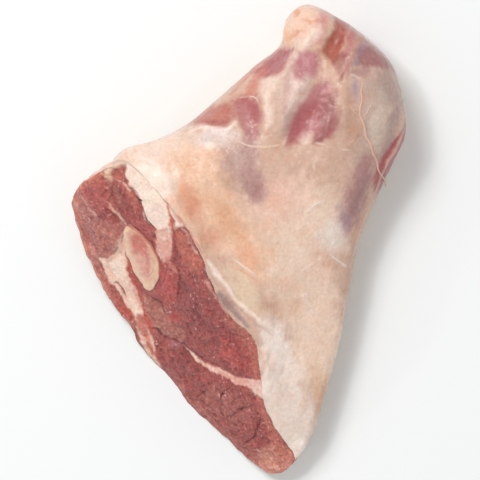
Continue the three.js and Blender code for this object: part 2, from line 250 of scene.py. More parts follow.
def forms_at(forms, x, y):
    """The sum of the forms' rises at a plan point, each a bell-shaped hump over a turned
    ellipse: it falls off as e to the minus square of the distance, in shares of the ellipse."""
    total = 0
    for form_x, form_y, length, width, turn, rise in forms:
        cos, sin = math.cos(math.radians(turn)), math.sin(math.radians(turn))
        dx, dy = x - form_x, y - form_y
        total = total + rise * np.exp(-((dx * cos + dy * sin) / length) ** 2
                                      - ((dy * cos - dx * sin) / width) ** 2)
    return total


face_section = section_at(1.0)
rim_from_left = RIM[:, :2] - np.array([face_section["left_x"], face_section["left_y"]])
rim_side = rim_from_left @ np.array(face_section["across"])
rim_back = rim_from_left @ np.array(face_section["normal"])
rim_height = RIM[:, 2] - level_at(face_section, rim_side)


def skin(angle, share, extra=0):
    """A point of the meat's outside. The section is a superellipse that takes the shape of the sawn
    face's rim over the last half of the way. Relief, the lip and extra are added square to it."""
    s = section_at(share)
    cos, sin = np.cos(angle), np.sin(angle)
    half_width = s["width"] * np.where(cos >= 0, 1 - s["ridge"], s["ridge"])
    half_height = np.where(sin >= 0, s["rise"], s["drop"])
    size = (np.abs(cos) ** SQUARENESS + np.abs(sin) ** SQUARENESS) ** (1 / SQUARENESS)
    side = s["ridge"] * s["width"] + half_width * cos / size
    height = half_height * sin / size
    back = np.maximum(-level_at(s, side), height) * s["lean"]

    turns = angle / (2 * np.pi) * len(RIM)
    sawn = smooth(share, 0.5, 1) ** 1.15
    side = mix(side, closed_spline(rim_side, turns) / face_section["width"] * s["width"], sawn)
    height = mix(height, closed_spline(rim_height, turns), sawn)
    back = mix(back, closed_spline(rim_back, turns) * s["lean"] / face_section["lean"], sawn)

    plain = place(s, side, height, back)
    fades = smooth(np.abs(sin), 0, 0.35) * smooth(share, 0, 0.12) * smooth(1 - share, -0.02, 0.06)
    upper = forms_at(UPPER_FORMS, plain[..., 0], plain[..., 1])
    under = forms_at(UNDER_FORMS, plain[..., 0], plain[..., 1])
    round_over = np.sqrt(1 - np.clip((share - 0.95) / 0.05, 0, 1) ** 2)
    lip = LIP * smooth(share, 0.6, 0.9) * round_over * smooth(sin, 0, 0.45)
    from_low = (plain[..., 0] - LOW_LIP_AT[0]) ** 2 + (plain[..., 1] - LOW_LIP_AT[1]) ** 2
    lip = lip * (1 - LOW_LIP_LOSS * np.exp(-from_low / LOW_LIP_REACH ** 2))
    relief = np.where(sin >= 0, upper, under) * fades + lip + extra
    out_side, out_up = cos / np.maximum(half_width, 1e-6), sin / np.maximum(half_height, 1e-6)
    length = np.hypot(out_side, out_up)
    up = relief * out_up / length
    return place(s, side + relief * out_side / length, height + up, back + up * s["lean"])


face_corner = np.array([face_section["left_x"], face_section["left_y"], face_section["left_z"]])
far_corner = np.array([face_section["right_x"], face_section["right_y"], face_section["right_z"]])
face_along = far_corner - face_corner
face_along /= np.linalg.norm(face_along)
face_tilt = np.array([*(n * face_section["lean"] for n in face_section["normal"]), 1.0])
face_out = np.cross(face_along, face_tilt)
face_out /= np.linalg.norm(face_out)
face_slope = np.cross(face_out, face_along)


def face_height(x, y):
    """The height of the sawn face's mean plane over a plan point."""
    from_x, from_y = x - face_corner[0], y - face_corner[1]
    return face_corner[2] - (from_x * face_out[0] + from_y * face_out[1]) / face_out[2]


bone_middle = np.array([*BONE_PLACE, face_height(*BONE_PLACE)])  # of its cut


def bone_reach(points):
    """How far points are from the middle of the bone's cut, as a share of its outline in that direction."""
    u, v = (points - bone_middle) @ face_along, (points - bone_middle) @ face_slope
    cos, sin = math.cos(BONE_TURN), math.sin(BONE_TURN)
    long = (u * cos + v * sin) / BONE_HALF_LONG
    short = (v * cos - u * sin - BONE_BOW * (long ** 2 - 0.25)) / BONE_HALF_SHORT
    return np.hypot(long, np.abs(short) ** (1 / (1 + BONE_LEAF)))


def ragged_rim(points):
    """Points moved sideways by layered noise, less than a millimetre, on the sawn face and at its rim. The
    move fades out 8 mm behind the face."""
    near = smooth((points - bone_middle) @ face_out, -8, -2)
    shift = [0.9 * near * layered_noise(points, 4.2, seed) for seed in (91, 95)]
    return points + np.stack([*shift, np.zeros_like(near)], -1)


def face_surface(along, across):
    """The sawn face: along runs from the elbow's side to the tip and across from the lower edge to the
    cover's edge. Soft meat curls out of the mean plane at the rim."""
    low = skin(np.pi * (1 + along), np.ones_like(along))
    high = skin(np.pi * (1 - along), np.ones_like(along))
    point = mix(low, high, across[..., None])
    flat = face_height(point[..., 0], point[..., 1])
    low_curl = low[..., 2] - face_height(low[..., 0], low[..., 1])
    high_curl = high[..., 2] - face_height(high[..., 0], high[..., 1])
    point[..., 2] = flat + low_curl * (1 - across) ** 3 + high_curl * across ** 3
    return point


# Meshes


def ring_faces(rows, columns):
    """Quads between closed rings of points, row by row, and triangles to the single point at each end."""
    row, column = np.meshgrid(np.arange(rows - 3), np.arange(columns), indexing="ij")
    a = 1 + row * columns + column
    b = 1 + row * columns + (column + 1) % columns
    quads = np.stack([a, b, b + columns, a + columns], -1).reshape(-1, 4)
    ring = np.arange(columns)
    last = 1 + (rows - 3) * columns
    start = np.stack([np.zeros_like(ring), 1 + (ring + 1) % columns, 1 + ring], -1)
    end = np.stack([np.full_like(ring, last + columns), last + ring, last + (ring + 1) % columns], -1)
    return quads, np.concatenate([start, end])


def per_point(rings):
    """Values on rings in the order of a closed surface's points: the first point, the rings, the last."""
    return np.concatenate([rings[:1, 0], rings[1:-1].reshape(-1, *rings.shape[2:]), rings[-1:, 0]])


def volume(points, faces):
    """Six times the volume inside closed faces, from the fans of triangles at their first corners: it is
    below zero where they face inwards."""
    p = points[faces]
    return sum((p[:, 0] * np.cross(p[:, k], p[:, k + 1])).sum() for k in range(1, faces.shape[1] - 1))


def new_object(name, data):
    """A new object of the scene, made of this data."""
    made = bpy.data.objects.new(name, data)
    bpy.context.scene.collection.objects.link(made)
    return made


def closed_piece(name, ring_sets, replaced=()):
    """A piece of one or more closed surfaces, each from rings of points in millimetres, whose first and
    last ring are single points. Surfaces that come out facing inwards are turned round."""
    all_points, all_quads, all_triangles, count = [], [], [], 0
    for rings in ring_sets if isinstance(ring_sets, list) else [ring_sets]:
        points = per_point(rings)
        quads, triangles = ring_faces(*rings.shape[:2])
        if volume(points, quads) + volume(points, triangles) < 0:
            quads, triangles = quads[:, ::-1], triangles[:, ::-1]
        all_points.append(points)
        all_quads.append(quads + count)
        all_triangles.append(triangles + count)
        count += len(points)
    points, quads, triangles = map(np.concatenate, (all_points, all_quads, all_triangles))
    mesh = bpy.data.meshes.new(name)
    mesh.vertices.add(len(points))
    mesh.vertices.foreach_set("co", (points * MM).astype(np.float32).ravel())
    corners = np.concatenate([quads.ravel(), triangles.ravel()]).astype(np.int32)
    mesh.loops.add(len(corners))
    mesh.loops.foreach_set("vertex_index", corners)
    starts = np.concatenate([np.arange(len(quads)) * 4, len(quads) * 4 + np.arange(len(triangles)) * 3])
    mesh.polygons.add(len(starts))
    mesh.polygons.foreach_set("loop_start", starts.astype(np.int32))
    mesh.polygons.foreach_set("use_smooth", np.ones(len(starts), bool))
    mesh.update(calc_edges=True)
    piece = new_object(name, mesh)
    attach(piece, "root")
    if replaced:
        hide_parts(*replaced)
    return piece


def paint(piece, name, values, vector=False):
    """Keeps values, one for each point of the piece, as an attribute that its material reads: numbers, or
    colours with full opacity, or vectors."""
    kind, key = ("FLOAT_VECTOR", "vector") if vector else ("FLOAT_COLOR", "color")
    if values.ndim == 1:
        kind, key = "FLOAT", "value"
    elif not vector:
        values = np.concatenate([values, np.ones((len(values), 1))], -1)
    attribute = piece.data.attributes.new(name, kind, "POINT")
    attribute.data.foreach_set(key, values.astype(np.float32).ravel())


# Painting

# An area, a spot or a band is a shape in plan. Each gives how deep points lie inside its edge, in
# millimetres and below 0 outside, and the plan box that it fills.


def spot(x, y, length, width, turn):
    """A turned ellipse. The depth is (1 - r) times its mean radius, where r is 1 on the ellipse."""
    cos, sin = math.cos(math.radians(turn)), math.sin(math.radians(turn))

    def depth(q):
        dx, dy = q[..., 0] - x, q[..., 1] - y
        r = np.hypot((dx * cos + dy * sin) / length, (dy * cos - dx * sin) / width)
        return (1 - r) * math.sqrt(length * width)

    return depth, (x - length, x + length, y - length, y + length)


def band(path, widths):
    """A band along a path of straight stretches, whose width follows the list from start to end. The
    depth is half the width less the distance to the path."""
    def depth(q):
        distance, share = path_distance(q, path)
        return np.interp(share, np.linspace(0, 1, len(widths)), widths) / 2 - distance

    return depth, box_of(path, max(widths))


def area(outline):
    """The inside of a closed outline. The depth is the distance to the outline, and counts as inside where
    a line to the right of the point crosses the outline an odd number of times."""
    def depth(q):
        distance, _ = path_distance(q, [*outline, outline[0]])
        inside = np.zeros(q.shape[:-1], bool)
        for (ax, ay), (bx, by) in zip(outline, [*outline[1:], outline[0]]):
            crosses = (ay > q[..., 1]) != (by > q[..., 1])
            inside ^= crosses & (q[..., 0] < ax + (q[..., 1] - ay) / ((by - ay) or 1e-9) * (bx - ax))
        return np.where(inside, distance, -distance)

    return depth, box_of(outline, 0)


def box_of(points, margin):
    """The plan box round points, grown by a margin."""
    low, high = np.min(points, 0) - margin, np.max(points, 0) + margin
    return low[0], high[0], low[1], high[1]


def path_distance(q, path):
    """The distance from each point to the nearest place of the path, and that place's share of its way."""
    best = np.full(q.shape[:-1], 1e9)
    share = np.zeros(q.shape[:-1])
    for k in range(len(path) - 1):
        a, b = np.array(path[k]), np.array(path[k + 1])
        ab = b - a
        t = np.clip(((q - a) @ ab) / (ab @ ab), 0, 1)
        d = np.linalg.norm(q - a - t[..., None] * ab, axis=-1)
        share = np.where(d < best, (k + t) / (len(path) - 1), share)
        best = np.minimum(best, d)
    return best, share


class Tissue:
    """What the meat is at a set of points: its colour, its relief in millimetres and how far it is bare
    muscle, each changed by what is laid over it. fray, about -1 to 1, moves the edges of shapes in and out
    in proportion to their softness, and thins them in places."""

    def __init__(self, points, colour, lean, fray):
        self.colour = np.broadcast_to(linear(colour), points.shape).copy()
        self.rise = np.zeros(points.shape[:-1])
        self.lean = np.full(points.shape[:-1], float(lean))
        self.fray = np.broadcast_to(fray, points.shape[:-1])

    def lay(self, q, shape, soft, colour, strength, rise, lean, within=1.0):
        """Lays a shape over the plan points q that its box can reach. Its weight goes from 0 to 1 over the
        soft edge, moved in and out by the fray. The colour and the bareness go over in proportion to the
        weight, and the relief is added."""
        depth, (x0, x1, y0, y1) = shape
        margin = 1.2 * soft
        near = ((q[..., 0] > x0 - margin) & (q[..., 0] < x1 + margin)
                & (q[..., 1] > y0 - margin) & (q[..., 1] < y1 + margin))
        moved = depth(q[near]) + 0.45 * soft * self.fray[near]
        weight = smooth(moved, -soft / 2, soft / 2) * (1 - 0.12 * smooth(-self.fray[near], 0.2, 0.9))
        weight = weight * np.broadcast_to(within, near.shape)[near]
        cover = weight * strength
        self.colour[near] = mix(self.colour[near], linear(colour), cover[:, None])
        self.lean[near] = mix(self.lean[near], lean, cover)
        self.rise[near] += rise * weight

    def tint(self, colour, weight):
        """Lays a colour over all points by a weight."""
        self.colour = mix(self.colour, linear(colour), np.clip(weight, 0, 1)[..., None])

    def tone(self, factors, weight):
        """Multiplies the red, green and blue by three factors, by a weight."""
        self.colour = self.colour * mix(1.0, np.array(factors), np.clip(weight, 0, 1)[..., None])


# Colours of the tissues, as they are in even white light.
PALE_FAT, CREAM_FAT, PEACH_FAT, WARM_FAT, APRICOT_FAT = "f2dccc", "eccfba", "e4c2a6", "e6bc9e", "dcaa8a"
WHITE_FAT_AND_PAINTED_LIGHT, COOL_FAT, BUFF_FAT, TAN_FAT, ROSY_FAT = "f4e2d6", "e6d4c8", "dcc2a6", "d8ae8c", "e6baa8"
ELBOW_FAT, BLUSH, DEEP_BLUSH_AND_SHADE, VEIN = "ead0c0", "d88e6c", "c6826a", "deb09a"
WHITE_FIBRE_AND_GLINT, CREAM_FIBRE, SEAM_VEIL = "f6e2d4", "eccfba", "d4a08e"
FASCIA, PALE_FASCIA, TAN_FASCIA_AND_SHADE, ROSY_FASCIA = "d0ac98", "dcc0b2", "c0967e", "c0948a"
GREY_FASCIA, DUSKY_FASCIA, SILVER_FASCIA, LILAC_SHEEN = "ba9c90", "a48680", "cebcac", "a48894"
MEMBRANE, TENDON, ROSY_TAN, PAINTED_SHEEN, CORAL_TIP = "907476", "e6ccbe", "b48478", "dac6be", "d08c78"
PINK_MUSCLE, ROSE_MUSCLE, CRIMSON_MUSCLE, DEEP_CRIMSON = "b27074", "ac6466", "a45054", "a4484e"
BROWN_MUSCLE, RED_MUSCLE, CORAL_MUSCLE = "985854", "b05c50", "c47462"
MAUVE_MUSCLE, PALE_MAUVE, BLUE_MAUVE, PURPLE_MUSCLE = "a87676", "b89488", "90706e", "9c6264"
CLEFT_RED, CLEFT_DARK = "ac5c4e", "84423c"
KNUCKLE, KNUCKLE_PEACH, KNUCKLE_ORANGE, KNUCKLE_PINK = "e2bca6", "e4b08c", "d08458", "ce8c84"
LEAN, BRIGHT_LEAN, DARK_LEAN, BROWN_LEAN = "a04a44", "b44a46", "88393a", "ac685a"
DULL_LEAN, CORAL_LEAN, BLOOD_RED, DARK_SEAM = "b06a60", "c46c5a", "c44c38", "5c2624"
RIND, SEAM_FAT, SEAM_WHITE, SEAM_PINK, SEAM_ROSE = "d0785e", "e8c0aa", "f2dac8", "dc9f90", "c87868"
BONE_SHELL, BONE_TAN, MARROW, DEEP_MARROW, PALE_MARROW = "e2c0a6", "d8a284", "c26a5c", "b4645a", "d6988a"
# The last of these, for pale points on the cover, is the colour of painted glints.
MUSCLE_VEIL, PALE_DASH, PAINTED_GLINT_DOT = "dcb6ac", "fae8dc", "fbeee4"  # the finest fibres and points of the cover
# The last of these is the colour of painted glints on the sawn face.
CUT_FAT_LIGHT, CUT_FAT_ROSE, PAINTED_GLINT = "f6e8e0", "dc9f8e", "f0ccc4"  # and of the sawn face
BONE_EDGE, BONE_SIDE = "b9675c", "a85a50"
FLOOR_WHITE = "eef0f0"

# What shows on the upper side of the cover, laid over one another in this order. Each row has a shape, the
# softness of its edge in millimetres, its colour, how strongly it covers, how far it stands up in
# millimetres, and how much of the fibre and wetness of bare muscle it has.
COVER_WASHES = [
    (spot(-37.8, 31.8, 22.9, 11.9, 20), 12, ELBOW_FAT, 0.95, 0, 0),  # fat over the elbow
    (spot(-14.4, 31.8, 15.3, 10.2, -10), 10, WARM_FAT, 0.8, 0, 0),  # its run to the bend
    (spot(-10.2, 10.6, 17.8, 12.7, -50), 12, WARM_FAT, 0.8, 0, 0),  # apricot fat behind the lip
    (spot(25.9, 6.4, 19.5, 17.8, 0), 14, CREAM_FAT, 0.9, 0, 0),  # shoulder of the slab
    (spot(17.4, 17.0, 10.2, 8.5, 0), 10, ROSY_FAT, 0.7, 0, 0),  # pink bloom in the middle
    (spot(8.1, -9.3, 14.4, 8.5, -40), 10, WARM_FAT, 0.8, 0, 0),  # warm fat below it
    (spot(26.8, -21.2, 19.5, 13.6, -60), 12, CREAM_FAT, 0.9, 0, 0),  # slab
    (spot(3.0, -22.1, 11.9, 4.2, -50), 8, BUFF_FAT, 0.8, 0, 0),  # cooler fat above the membrane
    (spot(32.3, -44.6, 18.7, 11.9, -80), 12, CREAM_FAT, 0.9, 0, 0),  # lower slab
    (spot(15.7, -47.6, 15.3, 6.4, -75), 8, WHITE_FAT_AND_PAINTED_LIGHT, 0.9, 0, 0),  # white fat behind the large muscle
    (spot(20.8, -73.0, 22.1, 10.2, -78), 10, COOL_FAT, 0.9, 0, 0),  # brisket flap
    (spot(34.8, -67.1, 14.4, 3.4, -75), 6, TAN_FAT, 0.55, 0, 0),  # its tan outer side
    (spot(57.7, 46.7, 11.9, 26.3, 0), 14, GREY_FASCIA, 0.9, 0, 0),  # thin fascia on the outer side
    (spot(63.7, 62.8, 5.1, 9.3, 20), 8, DUSKY_FASCIA, 0.6, 0, 0),  # greyer towards the edge
    (spot(58.6, 50.5, 5.9, 11.9, -5), 11, SILVER_FASCIA, 0.8, 0, 0),  # silvery strip
    (spot(26.3, 91.3, 9.8, 10.6, 0), 8, KNUCKLE, 1.0, 0, 0),  # bare end of the knuckle
    (spot(19.1, 63.7, 8.5, 23.8, 22), 12, PALE_FASCIA, 0.8, 0, 0),  # fascia over the inner forearm
]
COVER_PATCHES = [
    # the shank's end
    (band([(37.4, 96.4), (35.2, 90.9), (32.7, 84.1)], [3.8, 4.7, 3.8]),
     4.0, KNUCKLE_PINK, 0.85, 0, 0.1),  # pink wash
    (band([(33.5, 88.3), (27.2, 82.0), (22.9, 77.3), (20.0, 73.0)], [4.2, 5.5, 5.1, 4.2]),
     3.5, TENDON, 0.9, 0.3, 0),
    (spot(20.4, 84.9, 1.7, 4.7, 10), 3.0, KNUCKLE_PEACH, 0.7, 0, 0),  # orange side of the knuckle
    (spot(24.6, 96.0, 2.1, 1.3, 50), 1.8, KNUCKLE_ORANGE, 0.7, -0.2, 0),  # bloodied notch
    (band([(28.0, 93.0), (30.6, 92.1), (33.5, 93.0)], [0.8, 1.3, 0.4]),
     1.4, KNUCKLE_ORANGE, 0.5, -0.5, 0),  # folds
    (band([(22.1, 84.9), (24.2, 87.5), (27.6, 88.7)], [0.8, 1.7, 0.4]), 1.6, KNUCKLE_ORANGE, 0.5, -0.5, 0),
    (area([(40.3, 97.7), (48.0, 97.7), (48.8, 91.7), (45.4, 86.6), (43.7, 82.4), (42.0, 77.7), (39.5, 73.5),
     (36.9, 76.0), (34.4, 79.0), (35.7, 82.4), (38.6, 85.8), (40.3, 90.4)]),
     2.0, CLEFT_RED, 0.95, -0.7, 0.5),  # bare muscle in the cleft
    (band([(45.0, 96.0), (45.4, 90.9), (43.3, 85.8), (41.6, 80.7)], [1.7, 2.1, 2.1, 1.3]),
     2.6, CLEFT_DARK, 0.35, -0.2, 0.5),
    (band([(45.9, 90.0), (50.5, 87.0), (49.3, 82.4), (45.4, 76.4)], [2.5, 5.5, 6.4, 4.2]),
     3.0, ROSY_TAN, 0.85, 0.3, 0.2),  # tan strip beside it
    (band([(48.8, 89.2), (46.7, 83.7), (44.2, 77.7)], [2.5, 2.5, 2.1]),
     2.5, PINK_MUSCLE, 0.6, 0.3, 0.3),  # pink tendon
    (spot(46.3, 85.8, 1.7, 2.5, -20), 2.5, ROSE_MUSCLE, 0.7, 0, 0.4),
    (area([(40.3, 76.4), (43.3, 79.8), (46.7, 78.1), (45.9, 73.0), (42.9, 66.2), (40.8, 70.5),
     (39.1, 73.9)]), 2.0, BROWN_MUSCLE, 0.7, 0.1, 0.2),  # membrane at its lower end
    (band([(46.3, 76.4), (45.4, 72.2), (42.9, 66.2)], [1.3, 1.5, 0.6]), 1.6, CLEFT_RED, 0.8, -0.3, 0.8),
    (band([(34.4, 78.1), (37.8, 73.5), (40.8, 68.4), (42.9, 62.8), (44.2, 55.2)],
     [2.1, 3.0, 3.0, 3.4, 3.0]), 3.0, FASCIA, 0.8, 0.4, 0),  # fascia along the cleft
    (band([(51.4, 87.9), (48.8, 82.0), (46.7, 76.0), (45.0, 68.8)], [1.7, 2.5, 2.1, 1.7]),
     2.4, ROSY_FASCIA, 0.6, 0.4, 0.1),
    (area([(52.7, 82.4), (56.9, 82.4), (61.1, 79.4), (64.5, 75.2), (66.7, 70.9), (61.6, 71.8), (55.6, 73.5),
     (49.7, 73.9), (48.8, 76.9)]), 3.0, PURPLE_MUSCLE, 0.85, -0.3, 0.6),  # purple muscle through the fascia
    (band([(53.5, 83.2), (51.0, 79.0), (49.7, 74.7)], [2.1, 2.5, 2.1]),
     2.8, LILAC_SHEEN, 0.7, 0, 0.3),  # bluish fringe
    (spot(51.4, 70.9, 3.4, 2.1, 20), 3.0, MAUVE_MUSCLE, 0.6, 0, 0.3),
    (spot(48.8, 63.3, 1.7, 3.4, 0), 3.5, LILAC_SHEEN, 0.7, 0, 0.2),
    (band([(47.1, 69.6), (48.8, 69.2), (50.5, 67.9)], [0.6, 0.8, 0.4]), 1.0, WHITE_FIBRE_AND_GLINT, 0.4, 0.1, 0),
    (band([(45.9, 62.0), (47.1, 54.4), (48.0, 46.7), (47.1, 39.1)], [3.8, 5.1, 5.9, 4.2]),
     5.0, TAN_FASCIA_AND_SHADE, 0.6, 0.1, 0),
    (band([(68.4, 59.4), (64.5, 55.2), (62.0, 50.1)], [1.7, 2.1, 1.3]), 2.4, FASCIA, 0.6, 0.3, 0),
    (spot(67.1, 54.4, 2.1, 5.1, 0), 4.0, DUSKY_FASCIA, 0.5, 0, 0.2),
    (band([(64.5, 51.8), (64.1, 43.3), (61.1, 34.8)], [2.5, 3.8, 2.5]), 3.4, DUSKY_FASCIA, 0.6, -0.2, 0.2),
    (band([(56.5, 55.2), (53.9, 49.3), (54.8, 41.6)], [1.3, 2.1, 1.3]), 3.0, DUSKY_FASCIA, 0.45, -0.2, 0.1),
    (band([(69.6, 51.8), (67.1, 43.7), (64.5, 36.1), (61.1, 28.0)], [1.1, 1.3, 1.3, 0.8]),
     1.4, FASCIA, 0.7, 0.6, 0),
    # the forearm
    (area([(20.8, 39.1), (19.5, 43.7), (21.2, 50.1), (25.1, 56.9), (29.7, 62.0), (33.5, 67.1), (37.8, 67.9),
     (40.3, 62.0), (42.0, 54.4), (41.2, 46.7), (38.2, 42.0), (33.1, 40.8), (30.6, 44.6), (27.6, 44.6),
     (24.6, 41.6)]), 4.5, ROSE_MUSCLE, 0.85, -0.3, 0.35),
    (area([(20.8, 39.9), (20.4, 45.0), (22.1, 50.5), (25.9, 56.1), (31.0, 58.2), (35.2, 56.1), (34.4, 51.8),
     (29.7, 48.8), (27.2, 45.4), (23.8, 41.6)]), 5.0, DEEP_CRIMSON, 0.6, -0.3, 0.35),  # its crimson core
    (spot(34.4, 62.0, 4.2, 5.1, 10), 6.0, PINK_MUSCLE, 0.5, 0, 0.2),
    (spot(35.2, 50.1, 5.9, 8.1, 15), 5.0, CRIMSON_MUSCLE, 0.45, 0, 0.2),
    (band([(39.1, 58.6), (37.8, 51.0), (34.4, 43.3)], [5.1, 7.2, 4.2]), 4.5, BROWN_MUSCLE, 0.85, 0, 0.2),
    (band([(40.3, 62.8), (41.6, 56.1), (40.3, 48.4)], [1.3, 1.7, 1.3]), 4.0, ROSY_FASCIA, 0.4, 0.1, 0.1),
    (area([(24.6, 79.8), (28.5, 80.3), (33.1, 78.6), (34.0, 73.5), (31.8, 68.4), (27.2, 66.7), (23.4, 67.9),
     (21.7, 72.6)]), 4.5, PINK_MUSCLE, 1.0, -0.2, 0.25),  # pink muscle above it
    (band([(20.8, 67.9), (20.8, 62.0), (18.7, 53.5)], [3.4, 3.4, 2.1]), 4.0, ROSY_FASCIA, 0.7, -0.1, 0.2),
    (band([(29.7, 67.1), (25.9, 61.6), (22.1, 55.2), (18.3, 45.9)], [3.8, 4.2, 3.8, 3.4]),
     4.0, GREY_FASCIA, 0.8, 0.3, 0),
    (band([(23.4, 80.7), (20.0, 74.7), (14.0, 67.1), (13.2, 57.7), (14.0, 46.7)],
     [3.8, 5.1, 6.4, 7.2, 6.8]), 4.5, FASCIA, 0.7, 0.2, 0),
    (band([(14.0, 69.6), (12.3, 60.3), (13.2, 50.1)], [3.4, 3.8, 3.4]), 5.5, PALE_FAT, 0.45, 0, 0),
    (area([(22.9, 80.7), (18.7, 81.5), (13.6, 79.4), (9.3, 75.6), (5.1, 70.9), (8.5, 68.4), (14.0, 69.2),
     (19.1, 72.6)]), 3.0, CRIMSON_MUSCLE, 0.95, -0.3, 0.35),  # leaf muscle
    (band([(9.8, 72.2), (6.4, 67.1), (4.7, 62.0)], [3.4, 4.2, 4.7]), 4.0, CORAL_MUSCLE, 0.75, 0, 0.4),
    (band([(9.8, 76.4), (3.0, 68.8), (-3.8, 61.6)], [1.3, 2.5, 1.3]),
     2.0, CORAL_MUSCLE, 0.5, 0, 0.2),  # orange edge
    (area([(-3.0, 59.0), (0.4, 60.7), (7.2, 61.1), (9.8, 56.5), (9.8, 50.1), (8.1, 45.0), (5.5, 41.2),
     (2.5, 44.2), (-0.4, 49.3), (-2.5, 54.4)]), 4.0, ROSE_MUSCLE, 0.85, -0.3, 0.4),  # rose muscle
    (band([(3.0, 58.6), (6.4, 55.2), (6.8, 49.3)], [3.4, 4.7, 2.5]), 3.5, CRIMSON_MUSCLE, 0.6, 0, 0.5),
    (area([(-21.7, 49.3), (-17.8, 53.1), (-11.5, 56.9), (-5.5, 58.2), (-2.1, 55.6), (-3.0, 51.0),
     (-5.9, 48.0), (-11.5, 48.0), (-16.6, 48.4)]), 3.4, RED_MUSCLE, 0.8, -0.1, 0.6),
    (band([(-18.3, 49.3), (-13.2, 49.3), (-7.2, 48.4), (-3.8, 50.5)], [1.3, 2.1, 2.5, 1.3]),
     2.4, CRIMSON_MUSCLE, 0.5, 0, 0.8),
    (band([(-20.0, 46.3), (-15.3, 47.6), (-9.8, 46.3), (-4.7, 46.7), (-1.3, 49.3)],
     [1.3, 1.7, 2.1, 1.3, 0.4]), 2.0, WHITE_FIBRE_AND_GLINT, 0.7, 0.3, 0),  # ragged white fibres
    # Painted sheen: a pale silvery patch where light catches the wet fascia.
    (spot(-9.8, 42.9, 9.3, 4.2, 5), 5.0, PAINTED_SHEEN, 0.85, 0, 0.2),  # silvery sheen
    # A painted glint: a white fleck of light on the wet fascia.
    (spot(-11.9, 39.5, 2.1, 1.7, 40), 2.0, WHITE_FIBRE_AND_GLINT, 0.6, 0.2, 0),
    # the elbow's bend and the slab
    (area([(-6.8, 38.2), (0.4, 41.6), (8.1, 39.9), (9.3, 33.1), (9.8, 25.5), (11.5, 19.5), (6.8, 15.7),
     (1.7, 20.0), (-2.5, 24.6), (-6.8, 31.0)]),
     7.0, PALE_MAUVE, 1.0, -0.2, 0.4),  # muscle through the cover
    (band([(4.7, 41.2), (5.1, 34.8), (5.5, 28.9)], [6.8, 5.5, 5.9]), 6.0, MAUVE_MUSCLE, 0.55, 0, 0.5),
    (area([(1.3, 27.2), (5.1, 28.9), (8.9, 27.6), (11.0, 22.5), (10.2, 17.0), (5.9, 17.4), (2.1, 22.1)]),
     6.0, MAUVE_MUSCLE, 0.8, -0.1, 0.5),
    (spot(0.8, 30.6, 9.3, 11.0, 30), 9.0, PALE_MAUVE, 0.5, 0, 0.2),
    # Painted shadow: a tan shade below the bend of the elbow.
    (spot(-5.1, 26.3, 5.5, 3.0, -20), 5.0, TAN_FASCIA_AND_SHADE, 0.4, 0, 0),
    (band([(54.8, 34.0), (51.4, 25.5), (49.3, 16.1), (46.3, 7.6), (44.2, 1.7)], [5.1, 7.6, 9.3, 8.5, 4.2]),
     7.0, MAUVE_MUSCLE, 0.8, -0.2, 0.4),  # blue-mauve muscle by the edge
    (band([(53.1, 24.6), (50.5, 17.8), (48.4, 11.0)], [3.8, 5.5, 3.8]), 5.0, BLUE_MAUVE, 0.45, 0, 0.4),
    (spot(45.0, 8.9, 3.0, 5.5, 14), 4.0, LILAC_SHEEN, 0.5, 0, 0.3),
    (band([(57.3, 28.9), (55.6, 19.1), (53.1, 10.6), (50.5, 1.7)], [0.8, 1.7, 1.7, 1.3]),
     2.0, FASCIA, 0.7, 0.3, 0),
    (spot(39.5, 0.0, 5.9, 7.2, 0), 6.0, COOL_FAT, 0.85, 0, 0),  # pale cool fat beside it
    (band([(48.4, 1.7), (47.6, -9.3), (45.9, -21.2)], [2.1, 2.5, 2.5]), 3.0, TAN_FASCIA_AND_SHADE, 0.5, 0, 0),
    (spot(-21.7, 17.8, 3.8, 5.9, 12), 5.0, BLUSH, 0.6, 0, 0),  # orange blush behind the lip
    # The deeper blush here is partly the fat's colour and partly painted shade of the valley behind the lip.
    (spot(-18.3, 11.9, 3.0, 6.8, 18), 5.0, DEEP_BLUSH_AND_SHADE, 0.45, -0.1, 0),
    (spot(-11.5, 0.8, 5.1, 4.2, 40), 6.0, DEEP_BLUSH_AND_SHADE, 0.55, -0.1, 0),
    (spot(-4.7, 9.3, 4.2, 5.1, 0), 6.0, APRICOT_FAT, 0.5, 0, 0),
    (spot(3.4, -6.8, 3.8, 6.8, 25), 6.0, BLUSH, 0.4, 0, 0),
    (spot(18.7, -18.7, 5.9, 3.0, -10), 5.0, BLUSH, 0.2, 0, 0),
    (spot(-21.7, 28.9, 3.8, 5.9, 20), 5.0, APRICOT_FAT, 0.35, 0, 0),
    (spot(33.5, -9.3, 5.1, 7.6, 0), 7.0, ROSY_FAT, 0.4, 0, 0),
    (spot(-33.5, 23.8, 8.5, 4.7, -40), 4.0, PALE_FAT, 0.6, 0.2, 0),  # white fat at the lip
    (band([(-29.3, 17.8), (-26.8, 12.7), (-23.8, 7.6)], [2.1, 3.0, 1.7]), 2.0, SEAM_FAT, 0.8, 0.1, 0.1),
    (band([(-25.9, 10.2), (-20.8, 3.4), (-15.3, -5.1)], [0.7, 0.8, 0.8]), 1.0, SEAM_ROSE, 0.7, 0, 0.3),
    # the membrane that peels off the large muscle
    (band([(-14.4, -6.8), (-11.5, -13.6), (-6.8, -21.2), (-0.8, -29.3), (5.5, -36.1), (8.9, -44.2)],
     [2.5, 4.7, 5.1, 4.2, 3.4, 2.1]), 1.8, FASCIA, 0.8, 0.15, 0.1),
    (band([(-14.0, -9.3), (-11.9, -14.4), (-9.3, -19.5)], [0.8, 1.7, 1.3]), 1.4, GREY_FASCIA, 0.5, 0, 0.2),
    (band([(-8.5, -22.5), (-5.1, -26.8), (-0.8, -31.4), (3.4, -36.1)], [1.3, 3.0, 3.0, 1.3]),
     1.8, MEMBRANE, 0.75, -0.3, 0.4),
